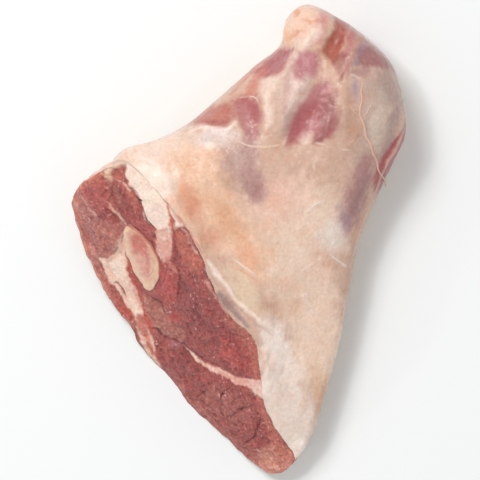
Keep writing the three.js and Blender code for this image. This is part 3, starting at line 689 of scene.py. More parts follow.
    (band([(-2.5, -26.3), (1.7, -30.1), (5.1, -34.0), (9.8, -36.9), (14.0, -40.3)],
     [0.6, 0.8, 0.6, 0.5, 0.3]), 1.4, MEMBRANE, 0.4, -0.1, 0.1),
    (band([(5.5, -38.6), (7.6, -42.9), (9.3, -47.1)], [0.6, 0.8, 0.4]), 1.2, GREY_FASCIA, 0.6, -0.3, 0.2),
    (band([(-13.2, -8.5), (-9.3, -14.4), (-4.2, -21.7), (1.3, -27.6), (7.2, -33.1), (14.0, -37.4)],
     [0.8, 1.7, 1.7, 1.3, 1.3, 0.8]), 1.6, WHITE_FIBRE_AND_GLINT, 0.7, 0.1, 0),
    (band([(9.8, -45.9), (11.0, -51.8), (11.5, -58.6)], [1.3, 1.3, 1.3]), 2.0, WHITE_FIBRE_AND_GLINT, 0.6, 0.2, 0),
    (spot(13.6, -51.8, 1.7, 5.1, 10), 3.0, ROSY_FAT, 0.3, -0.1, 0),
    # the brisket flap
    (spot(22.9, -55.2, 5.9, 6.8, 0), 6.0, PALE_FAT, 0.6, 0.1, 0),
    (spot(12.3, -62.8, 3.8, 4.7, 30), 4.0, WHITE_FAT_AND_PAINTED_LIGHT, 0.8, 0, 0),
    (spot(22.9, -81.5, 3.4, 9.3, -18), 5.0, SILVER_FASCIA, 0.3, 0, 0),
    (spot(27.6, -67.9, 1.7, 5.9, -10), 4.0, TAN_FAT, 0.4, 0.1, 0),
    (band([(36.9, -57.7), (35.2, -67.1), (32.7, -75.6)], [1.7, 2.1, 1.3]), 3.0, TAN_FASCIA_AND_SHADE, 0.45, 0, 0),
    (band([(31.8, -81.5), (29.3, -87.5), (25.9, -93.0)], [0.8, 0.8, 0.8]), 2.0, ROSY_FASCIA, 0.25, 0, 0.2),
    # Painted light: the flap's tip made paler against the shade of its slope.
    (spot(24.2, -89.6, 3.8, 5.5, -20), 4.0, WHITE_FAT_AND_PAINTED_LIGHT, 0.9, 0, 0),
    (band([(19.1, -90.0), (22.1, -91.7), (24.6, -92.6)], [1.3, 1.7, 1.3]), 2.0, APRICOT_FAT, 0.2, 0, 0.1),
]
# What shows on the outer side, as seen from that side: places are (y, z).
SIDE_PATCHES = [
    (spot(36, 25.5, 15.5, 11.5, -8), 2.6, CRIMSON_MUSCLE, 0.95, 0.2, 0.8),  # bare edge of the flexor
    (spot(38, 26, 11, 3.5, -8), 2.4, RED_MUSCLE, 0.6, 0.2, 1.0),
    (band([(52, 29), (44, 33), (34, 33.5), (20, 29)], [1, 1.6, 1.6, 1]), 1.2, FASCIA, 0.8, 0.4, 0),
    (band([(54, 16), (40, 10), (22, 12)], [2, 3, 2]), 2.5, ROSY_FASCIA, 0.6, 0.2, 0.1),
]
# Narrow streaks of the fascia and creases of the fat: path, width, colour, strength and rise.
COVER_STREAKS = [
    ([(0.4, 41.6), (3.0, 39.9), (7.2, 39.1), (12.3, 39.1), (17.0, 40.3)], 0.6, CREAM_FIBRE, 0.7, 0.3),
    ([(35.7, 16.6), (31.8, 14.9), (28.9, 11.9)], 0.8, WHITE_FIBRE_AND_GLINT, 0.7, 0.3),
    ([(28.5, 11.5), (29.3, 6.8), (33.5, 0.8)], 0.7, WHITE_FIBRE_AND_GLINT, 0.4, 0.2),
    ([(38.6, -6.4), (41.6, -8.5), (45.4, -11.5)], 0.8, WHITE_FIBRE_AND_GLINT, 0.7, 0.3),
    ([(37.4, -5.5), (31.8, -9.3), (25.5, -14.0)], 0.7, WHITE_FIBRE_AND_GLINT, 0.4, 0.2),
    ([(26.8, -23.8), (29.3, -27.6), (32.7, -31.8)], 0.7, WHITE_FIBRE_AND_GLINT, 0.6, 0.2),
    ([(27.6, -22.9), (28.9, -23.8)], 1.3, WHITE_FIBRE_AND_GLINT, 0.6, 0.2),
    ([(-3.0, -7.6), (2.1, -11.5), (7.2, -15.3)], 0.7, WHITE_FIBRE_AND_GLINT, 0.6, 0.3),
    ([(-0.4, -11.9), (4.7, -15.7), (8.9, -17.8)], 0.7, BLUSH, 0.5, -0.2),
    ([(23.4, -33.1), (23.4, -38.2), (24.2, -41.6)], 0.7, WHITE_FIBRE_AND_GLINT, 0.4, 0.2),
    ([(14.0, -37.4), (17.0, -40.3), (18.3, -45.0)], 0.8, WHITE_FIBRE_AND_GLINT, 0.6, 0.2),
    ([(0.4, 60.3), (4.7, 60.7), (7.6, 59.4), (8.9, 56.5)], 0.5, CREAM_FIBRE, 0.5, 0.2),
    # A painted glint.
    ([(5.5, 47.6), (6.8, 48.8), (7.6, 48.4)], 0.7, WHITE_FIBRE_AND_GLINT, 0.6, 0.3),
    ([(2.1, 45.0), (-0.4, 48.4), (-1.3, 53.1)], 0.5, FASCIA, 0.5, 0.2),
    ([(29.7, 44.6), (30.6, 50.1), (31.8, 54.4)], 0.5, PALE_FASCIA, 0.25, 0.2),
    ([(36.1, 43.3), (37.4, 49.3), (38.2, 55.2)], 0.5, PALE_FASCIA, 0.25, 0.2),
    ([(32.7, 40.8), (35.2, 40.3), (38.6, 39.1)], 0.8, CREAM_FIBRE, 0.6, 0.3),
    ([(43.3, 38.2), (47.1, 37.8)], 0.7, CREAM_FIBRE, 0.5, 0.2),
    ([(32.7, 34.8), (31.4, 31.4), (31.8, 28.9)], 0.8, WHITE_FIBRE_AND_GLINT, 0.5, 0.3),
    ([(17.4, 39.1), (19.1, 40.8), (20.0, 43.3)], 0.7, WHITE_FIBRE_AND_GLINT, 0.5, 0.3),
    ([(28.5, -30.6), (31.0, -32.3)], 0.6, WHITE_FIBRE_AND_GLINT, 0.4, 0.2),
]

# What shows on the side it lies on and on the low sides: fascia over muscle, and a sheet of thin fat.
UNDER_PATCHES = [
    (spot(38, 62, 34, 16, 55), 9, PINK_MUSCLE, 0.75, 0.2, 0.6),  # shin muscle through thin fascia
    (spot(46, 48, 15, 6, 60), 5, ROSE_MUSCLE, 0.7, 0, 0.8),
    (spot(20, 74, 10, 8, 40), 5, PALE_FAT, 0.8, 0.2, 0),  # tendons at the shank's end
    (band([(44, 92), (30, 70), (12, 44), (-4, 24)], [5, 6, 7, 5]), 3, WHITE_FAT_AND_PAINTED_LIGHT, 0.8, 0.4, 0),
    (spot(-14, 30, 22, 14, 30), 9, PALE_MAUVE, 0.7, -0.2, 0.5),  # muscle behind the elbow
    (spot(20, 4, 30, 20, 120), 12, CREAM_FAT, 0.8, 0.2, 0),  # thin flank's fat
    (spot(12, -30, 24, 9, 115), 6, MAUVE_MUSCLE, 0.7, -0.2, 0.7),  # flank muscle bare of it
    (spot(22, -70, 22, 8, 110), 6, CREAM_FAT, 0.8, 0, 0),
    (band([(-62, 6), (-48, -20), (-30, -48), (-4, -78)], [9, 8, 8, 7]), 5, CORAL_MUSCLE, 0.8, 0, 0.8),
]

# The same for the sawn face.
FACE_PATCHES = [
    # the large muscle
    (area([(-34.4, -9.3), (-30.1, -8.9), (-26.8, -12.7), (-25.5, -19.1), (-25.9, -25.5), (-31.0, -25.1),
     (-35.2, -21.7), (-35.7, -17.0)]), 2.5, BRIGHT_LEAN, 0.8, 0, 1.0),
    (area([(-40.8, -22.1), (-36.1, -24.2), (-31.4, -28.5), (-28.0, -34.0), (-22.5, -39.1), (-23.4, -42.5),
     (-29.3, -41.2), (-34.4, -40.3), (-37.4, -36.9), (-39.5, -31.4), (-41.6, -26.3)]),
     3.0, BROWN_LEAN, 0.85, 0, 0.7),  # smooth brown part under the bone
    (area([(-28.5, 8.1), (-25.1, 5.9), (-20.0, -1.3), (-14.9, -8.5), (-16.1, -13.6), (-20.8, -11.9),
     (-25.9, -2.5)]), 2.5, CORAL_LEAN, 0.75, 0.1, 1.0),  # its upper tip
    (spot(-20.0, -27.6, 4.7, 11.0, 20), 6.0, DARK_LEAN, 0.5, 0, 1.0),
    (spot(-27.2, -33.1, 3.0, 2.1, 0), 3.0, BRIGHT_LEAN, 0.7, 0.2, 1.0),
    (spot(-1.3, -47.6, 5.1, 10.2, 35), 7.0, BRIGHT_LEAN, 0.6, 0, 1.0),
    (spot(-11.5, -34.8, 6.8, 5.1, -40), 6.0, DARK_LEAN, 0.4, 0, 1.0),
    (band([(-4.7, -34.0), (0.8, -37.4), (4.7, -41.6), (7.2, -49.3), (7.2, -58.6)],
     [2.1, 3.4, 3.8, 3.8, 3.0]), 4.0, CORAL_LEAN, 0.6, 0, 0.9),  # brighter by the cover
    (band([(-14.0, -17.0), (-8.5, -25.1), (-4.2, -31.0), (1.3, -36.1), (5.5, -38.6), (8.5, -45.0),
     (9.8, -58.6)], [0.8, 0.8, 1.3, 1.3, 1.3, 1.3, 1.3]), 1.2, SEAM_PINK, 0.8, 0.1, 0.5),
    (band([(-21.7, 6.8), (-17.8, 0.0), (-14.4, -5.5)], [3.0, 3.4, 1.7]), 2.0, SEAM_ROSE, 0.7, 0, 0.7),
    (band([(-23.8, 4.7), (-20.8, 0.0), (-17.4, -5.5)], [0.7, 1.0, 0.7]), 0.8, SEAM_FAT, 0.75, 0.2, 0.2),
    (band([(-27.6, 8.1), (-22.5, 2.5), (-18.3, -3.4), (-14.9, -7.6)], [0.8, 0.8, 0.8, 0.4]),
     1.0, DARK_LEAN, 0.7, -0.3, 1.0),
    # the front muscle
    (area([(-70.1, 18.7), (-67.5, 24.2), (-62.0, 26.8), (-56.5, 26.3), (-54.4, 23.8), (-53.9, 17.8),
     (-50.5, 11.5), (-48.4, 6.8), (-49.7, 0.8), (-51.8, -3.0), (-55.6, -6.8), (-59.9, -6.8), (-63.3, -2.5),
     (-66.7, 5.9), (-69.2, 12.7)]), 1.4, DULL_LEAN, 1.0, 0.2, 0.9),
    (area([(-67.1, 22.1), (-62.4, 25.9), (-56.5, 25.5), (-53.9, 18.7), (-51.0, 11.5), (-52.2, 8.1),
     (-56.5, 8.5), (-59.9, 11.9), (-64.1, 17.0)]), 2.6, BRIGHT_LEAN, 0.6, 0.1, 1.0),
    (band([(-66.7, 22.9), (-62.4, 25.5), (-59.0, 24.6)], [1.7, 3.0, 1.7]), 2.5, CORAL_LEAN, 0.8, 0, 1.0),
    (spot(-57.3, 10.6, 1.7, 2.5, -40), 2.4, DARK_LEAN, 0.8, -0.3, 1.0),
    (spot(-53.1, 8.9, 3.0, 1.7, 20), 3.0, DARK_LEAN, 0.5, -0.2, 1.0),
    (band([(-65.4, 18.7), (-62.4, 14.4), (-59.9, 11.0)], [0.7, 1.0, 0.6]), 1.0, SEAM_PINK, 0.7, 0.1, 0.3),
    (spot(-55.6, 1.7, 5.1, 5.9, 0), 4.0, CORAL_LEAN, 0.35, 0, 0.8),
    (band([(-68.8, 21.2), (-68.8, 14.4), (-67.1, 7.6)], [1.7, 2.1, 1.7]),
     2.0, RIND, 0.8, 0, 0.5),  # its rind
    (band([(-69.2, 20.8), (-65.8, 24.2), (-61.6, 26.8), (-57.3, 27.6), (-54.8, 27.2)],
     [0.8, 1.3, 1.7, 1.7, 1.7]), 2.0, RIND, 0.8, 0.2, 0.3),
    # the second muscle
    (area([(-54.4, 23.8), (-53.9, 28.9), (-51.0, 31.0), (-48.0, 29.7), (-47.6, 26.3), (-45.0, 22.5),
     (-41.6, 17.4), (-39.5, 11.5), (-34.8, 3.8), (-34.4, -2.5), (-35.7, -3.8), (-38.6, 0.0), (-42.5, 4.2),
     (-47.6, 8.1), (-50.5, 11.9), (-53.9, 17.0)]), 1.2, LEAN, 1.0, 0.1, 1.0),
    (spot(-50.5, 27.6, 3.0, 3.4, 0), 3.0, CORAL_LEAN, 0.7, 0, 1.0),
    (spot(-55.2, 27.2, 1.7, 2.5, 10), 2.4, APRICOT_FAT, 0.85, 0.1, 0),  # fat in the notch between them
    (band([(-55.2, 28.9), (-52.7, 31.4), (-49.7, 32.7), (-46.3, 31.8)], [1.7, 1.7, 2.1, 1.7]),
     2.0, PEACH_FAT, 0.9, 0.2, 0),
    (spot(-51.8, 18.7, 2.1, 5.1, 20), 3.0, BROWN_LEAN, 0.7, 0, 1.0),
    (band([(-47.1, 23.8), (-44.2, 18.7), (-42.0, 12.7)], [2.1, 3.4, 2.5]), 2.4, CORAL_LEAN, 0.6, 0.1, 1.0),
    (band([(-50.1, 25.1), (-47.6, 23.8), (-45.0, 20.8)], [0.7, 0.8, 0.6]), 0.9, SEAM_FAT, 0.7, 0.2, 0.4),
    (band([(-47.1, 10.6), (-42.9, 7.6), (-38.6, 3.0)], [1.7, 3.4, 3.4]), 2.4, BRIGHT_LEAN, 0.6, 0, 1.0),
    (spot(-50.1, 11.9, 1.7, 1.7, 0), 2.0, DARK_LEAN, 0.7, -0.2, 1.0),
    (spot(-45.9, 13.6, 1.3, 2.1, 0), 2.0, DARK_LEAN, 0.35, -0.2, 1.0),
    # the thin lower muscle
    (area([(-68.8, 11.9), (-65.8, 5.9), (-62.4, -2.5), (-58.6, -10.2), (-53.9, -17.8), (-49.7, -19.5),
     (-47.1, -27.2), (-44.6, -32.3), (-42.9, -35.7), (-46.3, -37.4), (-53.9, -30.6), (-59.9, -18.7),
     (-66.7, -3.4), (-69.6, 5.9)]), 1.4, RED_MUSCLE, 1.0, 0.2, 1.0),
    (band([(-68.4, 10.2), (-66.7, 0.8), (-61.1, -12.7), (-55.6, -24.6), (-51.0, -32.3), (-46.7, -36.9)],
     [1.3, 2.1, 2.1, 2.5, 2.5, 2.1]), 2.4, RIND, 0.8, 0.1, 0.6),  # its rind
    (band([(-65.0, 3.4), (-63.3, -0.8), (-62.0, -4.2)], [0.8, 2.1, 0.8]), 1.8, BRIGHT_LEAN, 0.8, -0.2, 1.0),
    (spot(-52.2, -19.5, 1.7, 1.7, 0), 1.8, DARK_LEAN, 0.7, -0.3, 1.0),
    (spot(-48.4, -30.6, 5.1, 2.5, -50), 3.0, BLOOD_RED, 0.75, 0.2, 0.9),
    (band([(-63.3, -2.1), (-60.3, -9.3), (-56.9, -15.3)], [1.3, 1.7, 1.3]), 2.0, SEAM_PINK, 0.5, 0, 0.4),
    # vivid red and then fat along the bone's side
    (band([(-48.4, -5.1), (-47.1, -11.9), (-45.0, -18.7), (-42.0, -25.5), (-39.9, -31.4), (-37.4, -38.2)],
     [0.8, 1.7, 2.1, 1.7, 2.1, 2.1]), 1.8, BLOOD_RED, 0.75, -0.1, 0.9),
    (area([(-59.4, -7.2), (-56.1, -7.6), (-53.1, -5.5), (-51.0, -2.1), (-49.7, 1.7), (-48.0, 5.9),
     (-47.6, 0.0), (-48.0, -6.8), (-47.6, -12.7), (-45.9, -17.8), (-43.7, -22.1), (-42.0, -26.3),
     (-40.8, -30.6), (-41.2, -33.1), (-43.7, -32.7), (-46.7, -29.3), (-49.3, -25.5), (-51.4, -21.7),
     (-53.5, -19.5), (-55.6, -17.4), (-57.7, -12.7)]), 0.9, SEAM_FAT, 1.0, 0.1, 0),
    (area([(-59.9, -6.8), (-56.1, -7.2), (-53.1, -5.1), (-51.0, -1.7), (-49.3, 2.5), (-48.0, 5.9),
     (-47.6, 0.0), (-48.8, -5.1), (-52.7, -7.2), (-55.6, -9.3)]),
     2.2, SEAM_VEIL, 0.6, 0, 0.2),  # stretched connective tissue above it
    (area([(-55.2, -9.8), (-51.8, -7.6), (-49.3, -6.8), (-48.4, -10.2), (-48.0, -14.4), (-48.8, -17.4),
     (-52.2, -16.6), (-54.4, -12.7)]), 2.0, SEAM_WHITE, 0.7, 0.2, 0),
    (band([(-46.3, -25.5), (-44.6, -28.5), (-42.9, -31.4)], [1.3, 2.1, 1.7]), 1.4, SEAM_WHITE, 0.7, 0.2, 0),
    (band([(-46.7, -17.8), (-43.7, -23.8), (-41.6, -28.9)], [0.7, 0.8, 0.7]), 1.0, SEAM_ROSE, 0.6, 0, 0.2),
    (band([(-42.5, -33.1), (-40.3, -38.2), (-37.4, -44.6), (-34.0, -51.4)], [3.4, 4.2, 3.8, 2.1]),
     1.4, SEAM_ROSE, 1.0, 0.1, 0.3),
    (band([(-43.3, -37.4), (-41.6, -42.9), (-38.2, -48.8), (-33.5, -53.1)], [1.3, 1.7, 1.7, 1.3]),
     1.6, SEAM_FAT, 0.8, 0.1, 0.1),
    (band([(-39.5, -38.2), (-37.8, -42.5), (-36.1, -46.7)], [0.8, 1.3, 0.8]), 1.2, SEAM_FAT, 0.7, 0.2, 0.1),
    (band([(-41.2, -33.1), (-39.5, -34.8), (-37.4, -37.8)], [1.3, 2.5, 1.7]), 1.6, BLOOD_RED, 0.8, 0, 0.8),
    (band([(-41.2, -39.5), (-39.1, -44.2), (-36.5, -48.4)], [0.6, 0.8, 0.5]),
     1.0, BLOOD_RED, 0.6, -0.2, 0.6),
    # fat between the bone and the cover
    (area([(-47.6, 32.7), (-43.7, 34.8), (-37.8, 32.3), (-31.0, 25.5), (-23.4, 14.4), (-21.7, 6.8),
     (-25.9, 5.5), (-28.9, 11.0), (-30.1, 15.7), (-34.4, 16.1), (-39.5, 17.0), (-41.6, 18.7), (-44.6, 22.9),
     (-47.1, 26.3)]), 1.6, PALE_FAT, 1.0, 0.4, 0),
    (spot(-39.9, 24.6, 7.2, 3.8, -45), 5.0, SEAM_WHITE, 0.7, 0.1, 0),
    (spot(-25.5, 11.5, 5.5, 3.0, -60), 2.5, ROSY_FAT, 0.9, -0.1, 0),
    (spot(-24.6, 8.9, 3.4, 1.7, -50), 2.0, SEAM_ROSE, 0.5, -0.1, 0.2),
    (area([(-41.2, 18.3), (-36.9, 20.0), (-32.3, 19.5), (-29.7, 15.3), (-28.9, 10.2), (-28.5, 5.1),
     (-33.5, 4.7), (-36.5, 7.6), (-39.5, 12.7)]), 1.2, SEAM_WHITE, 1.0, 0.4, 0),
    (spot(-34.8, 11.5, 3.4, 4.7, 20), 3.0, ELBOW_FAT, 0.9, 0, 0),
    (area([(-34.4, 4.2), (-31.8, 5.5), (-28.5, 5.5), (-27.6, 0.0), (-28.5, -7.6), (-31.8, -9.3),
     (-34.4, -6.8), (-34.8, -1.7)]), 1.2, SEAM_PINK, 1.0, 0.1, 0.1),
    (spot(-31.4, 2.5, 2.1, 2.1, 0), 2.6, SEAM_FAT, 0.6, 0, 0),
    (band([(-29.3, -7.6), (-27.6, -11.0), (-25.5, -13.6)], [1.7, 1.7, 0.8]), 1.2, SEAM_ROSE, 0.8, 0.2, 0.2),
    (band([(-31.0, 17.8), (-30.1, 14.9), (-28.9, 11.5), (-28.5, 6.8)], [1.3, 0.8, 0.8, 1.3]),
     1.0, BLOOD_RED, 0.8, -0.3, 0.6),
    (band([(-34.8, 2.5), (-34.8, -3.4), (-33.5, -8.1)], [0.6, 0.8, 0.7]), 1.0, RED_MUSCLE, 0.8, -0.2, 0.8),
    # the seam across and the lower muscle
    (area([(-37.8, -38.2), (-31.8, -41.6), (-26.8, -43.3), (-21.7, -46.3), (-17.4, -52.7), (-11.0, -56.5),
     (-1.3, -60.3), (4.2, -65.4), (9.8, -69.6), (12.3, -75.6), (17.8, -84.1), (20.0, -91.7), (24.6, -93.4),
     (20.0, -99.4), (13.2, -99.4), (-1.3, -89.2), (-16.6, -74.3), (-29.3, -59.4), (-35.2, -49.3)]),
     1.2, LEAN, 1.0, 0, 1.0),
    (spot(-25.9, -52.7, 4.2, 8.5, -40), 6.0, DARK_LEAN, 0.35, 0, 1.0),
    (spot(-26.8, -44.6, 3.4, 1.7, 20), 3.0, ROSE_MUSCLE, 0.7, 0.1, 0.8),
    (spot(-4.7, -70.5, 11.0, 6.8, -40), 6.0, DULL_LEAN, 0.45, 0, 1.0),
    (band([(-30.1, -56.1), (-22.5, -67.1), (-13.2, -76.4), (-3.8, -84.9), (4.7, -92.1), (13.2, -98.5)],
     [2.1, 3.4, 4.2, 4.7, 5.1, 5.9]), 3.5, DULL_LEAN, 0.6, 0, 1.0),  # bevel at its lower edge
    (spot(15.7, -93.8, 7.6, 6.4, 20), 5.0, CORAL_TIP, 0.85, 0, 0.6),  # its tip
    (band([(8.5, -67.1), (12.3, -74.7), (16.1, -83.2), (18.7, -91.3)], [2.5, 5.1, 5.9, 5.1]),
     3.5, CORAL_LEAN, 0.6, 0, 0.9),
    (band([(19.1, -91.7), (22.1, -93.4), (20.0, -97.7)], [1.7, 3.0, 2.1]), 2.4, SEAM_ROSE, 0.7, 0, 0.4),
    (area([(-23.4, -45.4), (-20.4, -48.0), (-17.4, -51.0), (-11.5, -53.9), (-5.5, -56.5), (0.4, -58.6),
     (5.5, -59.0), (10.6, -58.6), (11.5, -67.9), (7.2, -65.0), (3.4, -62.4), (-0.4, -60.7), (-5.5, -58.6),
     (-11.5, -55.6), (-17.0, -52.7), (-20.8, -49.3)]), 0.6, SEAM_PINK, 1.0, 0.1, 0),  # white seam
    (band([(-22.1, -46.7), (-19.5, -49.7), (-17.0, -51.8)], [0.5, 0.8, 0.7]), 0.9, SEAM_WHITE, 0.8, 0.2, 0),
    (area([(3.8, -59.9), (10.6, -59.4), (11.5, -67.9), (7.2, -65.4), (4.7, -62.4)]),
     2.6, SEAM_WHITE, 0.4, 0.1, 0),
    (band([(-17.4, -51.4), (-11.5, -54.4), (-5.5, -56.9), (-1.3, -58.6)], [0.7, 0.8, 0.8, 0.5]),
     1.0, SEAM_FAT, 0.6, 0.1, 0),
    (band([(-17.4, -49.7), (-10.6, -52.7), (-2.1, -56.1), (4.7, -58.6)], [0.6, 0.8, 0.7, 0.4]),
     1.0, DARK_LEAN, 0.6, -0.3, 1.0),
]
# And for the cut of the bone and the marrow in it.
BONE_PATCHES = [
    (area([(-46.7, 2.5), (-42.5, 3.4), (-39.1, 0.0), (-36.9, -5.9), (-36.9, -12.7), (-38.2, -18.7),
     (-41.6, -16.6), (-45.0, -10.2), (-47.1, -3.4)]),
     4.0, PALE_MARROW, 0.8, -0.1, 0.3),  # spongy bone and marrow
    (spot(-42.5, -1.3, 4.7, 3.4, -65), 4.5, MARROW, 0.9, -0.1, 0.5),  # its deeper pink
    (band([(-42.9, 1.7), (-39.9, -2.5), (-38.6, -8.5), (-38.6, -13.6)], [0.8, 1.3, 1.3, 0.8]),
     2.0, MARROW, 0.6, 0, 0.4),
    (band([(-45.4, 5.1), (-39.9, 1.7), (-36.5, -2.5), (-35.2, -9.3), (-36.1, -17.0)],
     [2.1, 2.1, 2.5, 3.0, 2.1]), 3.0, BONE_TAN, 0.7, 0.1, 0),
    (band([(-47.6, 0.8), (-46.3, -6.8), (-43.3, -14.4), (-39.5, -20.0)], [1.3, 2.1, 3.4, 3.4]),
     3.0, BONE_SHELL, 0.8, 0.1, 0),
]
# Cracks and dark seams between the bundles, and pale seams: path, width, colour, strength and rise.
FACE_STREAKS = [
    ([(-55.6, 16.6), (-52.7, 12.7), (-50.1, 8.9), (-48.0, 6.4)], 0.8, SEAM_FAT, 0.7, 0.1),
    ([(-64.1, 17.0), (-61.1, 13.6), (-58.2, 9.8)], 0.6, DARK_LEAN, 0.6, -0.5),
    ([(-56.9, 14.9), (-53.9, 11.5), (-51.8, 8.9)], 0.8, DARK_LEAN, 0.5, -0.4),
    ([(-53.9, 22.9), (-53.9, 17.8), (-51.4, 13.6)], 0.7, DARK_LEAN, 0.5, -0.4),
    ([(-45.9, 22.5), (-43.3, 19.5), (-41.2, 17.0), (-39.5, 12.7)], 0.5, DARK_SEAM, 0.8, -0.7),
    ([(-39.5, 12.7), (-37.8, 9.3), (-36.1, 6.8), (-34.4, 5.1)], 0.6, DARK_SEAM, 0.8, -0.7),
    ([(-41.6, 17.4), (-40.3, 17.0)], 0.8, DARK_SEAM, 0.9, -0.5),
    ([(-48.0, 5.9), (-48.8, 3.0), (-49.7, -1.3)], 0.6, DARK_SEAM, 0.6, -0.6),
    ([(-51.0, -3.0), (-52.2, -4.7), (-53.5, -5.9)], 0.5, DARK_SEAM, 0.7, -0.6),
    ([(-61.1, -6.8), (-59.0, -11.0), (-56.5, -15.3)], 0.6, DARK_LEAN, 0.8, -0.5),
    ([(-53.1, -18.3), (-51.0, -19.1), (-49.7, -21.2), (-48.4, -24.6)], 0.7, DARK_LEAN, 0.8, -0.5),
    ([(-39.1, -23.4), (-35.7, -25.5), (-33.1, -27.2), (-31.0, -30.1)], 0.7, DARK_SEAM, 0.75, -0.7),
    ([(-26.3, 0.0), (-25.9, -6.8), (-25.1, -12.7)], 1.3, DARK_LEAN, 0.7, -0.4),
    ([(-25.1, -11.9), (-24.6, -17.0), (-25.1, -23.8)], 0.8, DARK_SEAM, 0.5, -0.5),
    ([(-31.4, -15.3), (-32.7, -18.3), (-34.0, -20.4)], 0.6, DARK_LEAN, 0.6, -0.4),
    ([(-36.9, -37.4), (-35.2, -37.4), (-33.5, -39.9), (-31.0, -41.6)], 0.9, DARK_SEAM, 0.8, -0.7),
    ([(-31.8, -41.6), (-27.6, -42.0), (-23.8, -43.7), (-21.7, -45.9)], 0.6, DARK_SEAM, 0.75, -0.6),
    ([(-20.8, -46.7), (-17.8, -49.3), (-14.9, -51.4)], 0.6, DARK_LEAN, 0.7, -0.5),
    ([(-2.1, -60.7), (-3.8, -62.4), (-5.5, -63.3), (-7.2, -66.2), (-8.1, -67.5)],
     0.6, DARK_SEAM, 0.85, -0.65),
    ([(-11.9, -63.3), (-14.4, -64.1), (-16.6, -66.2), (-18.3, -67.5)], 0.6, DARK_SEAM, 0.8, -0.6),
    ([(-18.3, -67.9), (-15.3, -68.8), (-12.7, -70.5), (-11.0, -68.8)], 0.5, DARK_SEAM, 0.6, -0.5),
    ([(5.9, -70.1), (3.0, -71.3), (0.0, -72.2), (-3.0, -74.7)], 0.6, DARK_SEAM, 0.75, -0.6),
    ([(-7.2, -70.9), (-6.8, -73.9), (-4.7, -76.9), (-1.7, -77.7)], 0.6, DARK_SEAM, 0.6, -0.6),
    ([(8.9, -76.4), (8.5, -80.3), (6.8, -83.2), (4.2, -85.4), (1.7, -87.9)], 0.6, DARK_SEAM, 0.7, -0.55),
    ([(-4.2, -80.7), (-0.8, -82.0), (1.7, -81.1)], 0.5, DARK_SEAM, 0.5, -0.5),
    ([(1.7, -89.2), (5.5, -90.0), (9.8, -90.4), (13.2, -89.6)], 0.5, DARK_LEAN, 0.5, -0.4),
    ([(3.0, -78.1), (0.4, -79.0), (-2.1, -78.1)], 0.4, DARK_SEAM, 0.5, -0.5),
    ([(-8.9, -75.6), (-11.0, -73.9), (-13.2, -73.9)], 0.4, DARK_SEAM, 0.5, -0.5),
    ([(7.2, -86.6), (4.7, -87.9), (2.1, -91.3)], 0.4, DARK_SEAM, 0.5, -0.5),
    ([(-10.6, -60.7), (-12.7, -60.3), (-15.3, -62.0)], 0.4, DARK_SEAM, 0.5, -0.5),
    ([(0.8, -65.8), (-1.3, -67.5), (-2.5, -69.6)], 0.4, DARK_SEAM, 0.45, -0.5),
    ([(-24.2, -56.1), (-22.1, -59.0), (-21.2, -62.0)], 0.4, DARK_LEAN, 0.6, -0.5),
    ([(-20.8, -58.2), (-19.5, -56.9), (-18.3, -58.2)], 0.6, DARK_SEAM, 0.5, -0.5),
    ([(0.4, -48.4), (3.0, -50.1), (5.5, -51.4)], 0.6, DARK_LEAN, 0.6, -0.5),
    ([(-13.2, -30.6), (-11.5, -33.1), (-9.8, -35.7)], 0.6, DARK_LEAN, 0.5, -0.4),
    ([(-3.4, -38.2), (-3.8, -41.6), (-2.1, -44.6)], 0.6, DARK_LEAN, 0.5, -0.4),
    ([(-21.2, -34.0), (-20.8, -38.2), (-18.7, -41.6)], 0.6, DARK_LEAN, 0.5, -0.4),
    ([(-28.5, -34.0), (-26.8, -36.1), (-25.1, -36.9)], 0.8, DARK_LEAN, 0.6, -0.4),
    ([(-58.6, 1.3), (-57.3, 0.8)], 0.8, DARK_LEAN, 0.6, -0.3),
]

# Strands that lie on the cover: path in plan, radius and colour.
STRANDS = [
    ([(52.2, 66.7), (51.4, 62.8), (51.8, 59.4), (51.0, 55.6), (51.0, 52.2), (52.7, 48.4), (53.5, 43.7),
     (55.6, 39.9), (56.5, 36.5), (58.2, 33.1), (59.0, 29.3), (61.6, 25.5), (62.4, 22.5)],
     0.5, VEIN),  # the superficial vein
    ([(56.9, 59.4), (55.2, 56.1), (53.9, 53.5), (51.8, 51.4)], 0.28, VEIN),  # its branches
    ([(46.7, 56.9), (48.0, 54.4), (49.7, 53.1), (51.4, 51.8)], 0.24, VEIN),
    ([(35.7, 16.6), (32.7, 15.3), (29.7, 12.7)], 0.24, PALE_FAT),  # threads of connective tissue
    ([(39.1, -6.4), (42.0, -8.9), (45.9, -11.0)], 0.2, PALE_FAT),
    ([(26.8, -24.2), (29.3, -27.6), (32.7, -31.4)], 0.16, PALE_FAT),
    ([(0.8, 41.2), (3.0, 39.9), (7.2, 39.5)], 0.18, CREAM_FIBRE),
    ([(-2.5, -8.1), (2.1, -11.5), (7.2, -15.3)], 0.18, PALE_FAT),
    ([(43.3, 38.2), (47.1, 37.8)], 0.17, CREAM_FIBRE),
    ([(4.2, 60.3), (6.4, 60.3), (8.1, 58.2)], 0.14, CREAM_FIBRE),
]


# The cover

COVER_ROWS, TOP_COLUMNS, UNDER_COLUMNS = 318, 212, 96
NEXT_TO_RIM = 0.9992  # a ring close to the rim keeps the shading of its turn narrow
CAP_SHARES = (0.03, 0.1, 0.3, 0.55, 0.8, 1.0)  # of the way from the rim to the point that closes the cover
CAP_DEPTH = 3.0

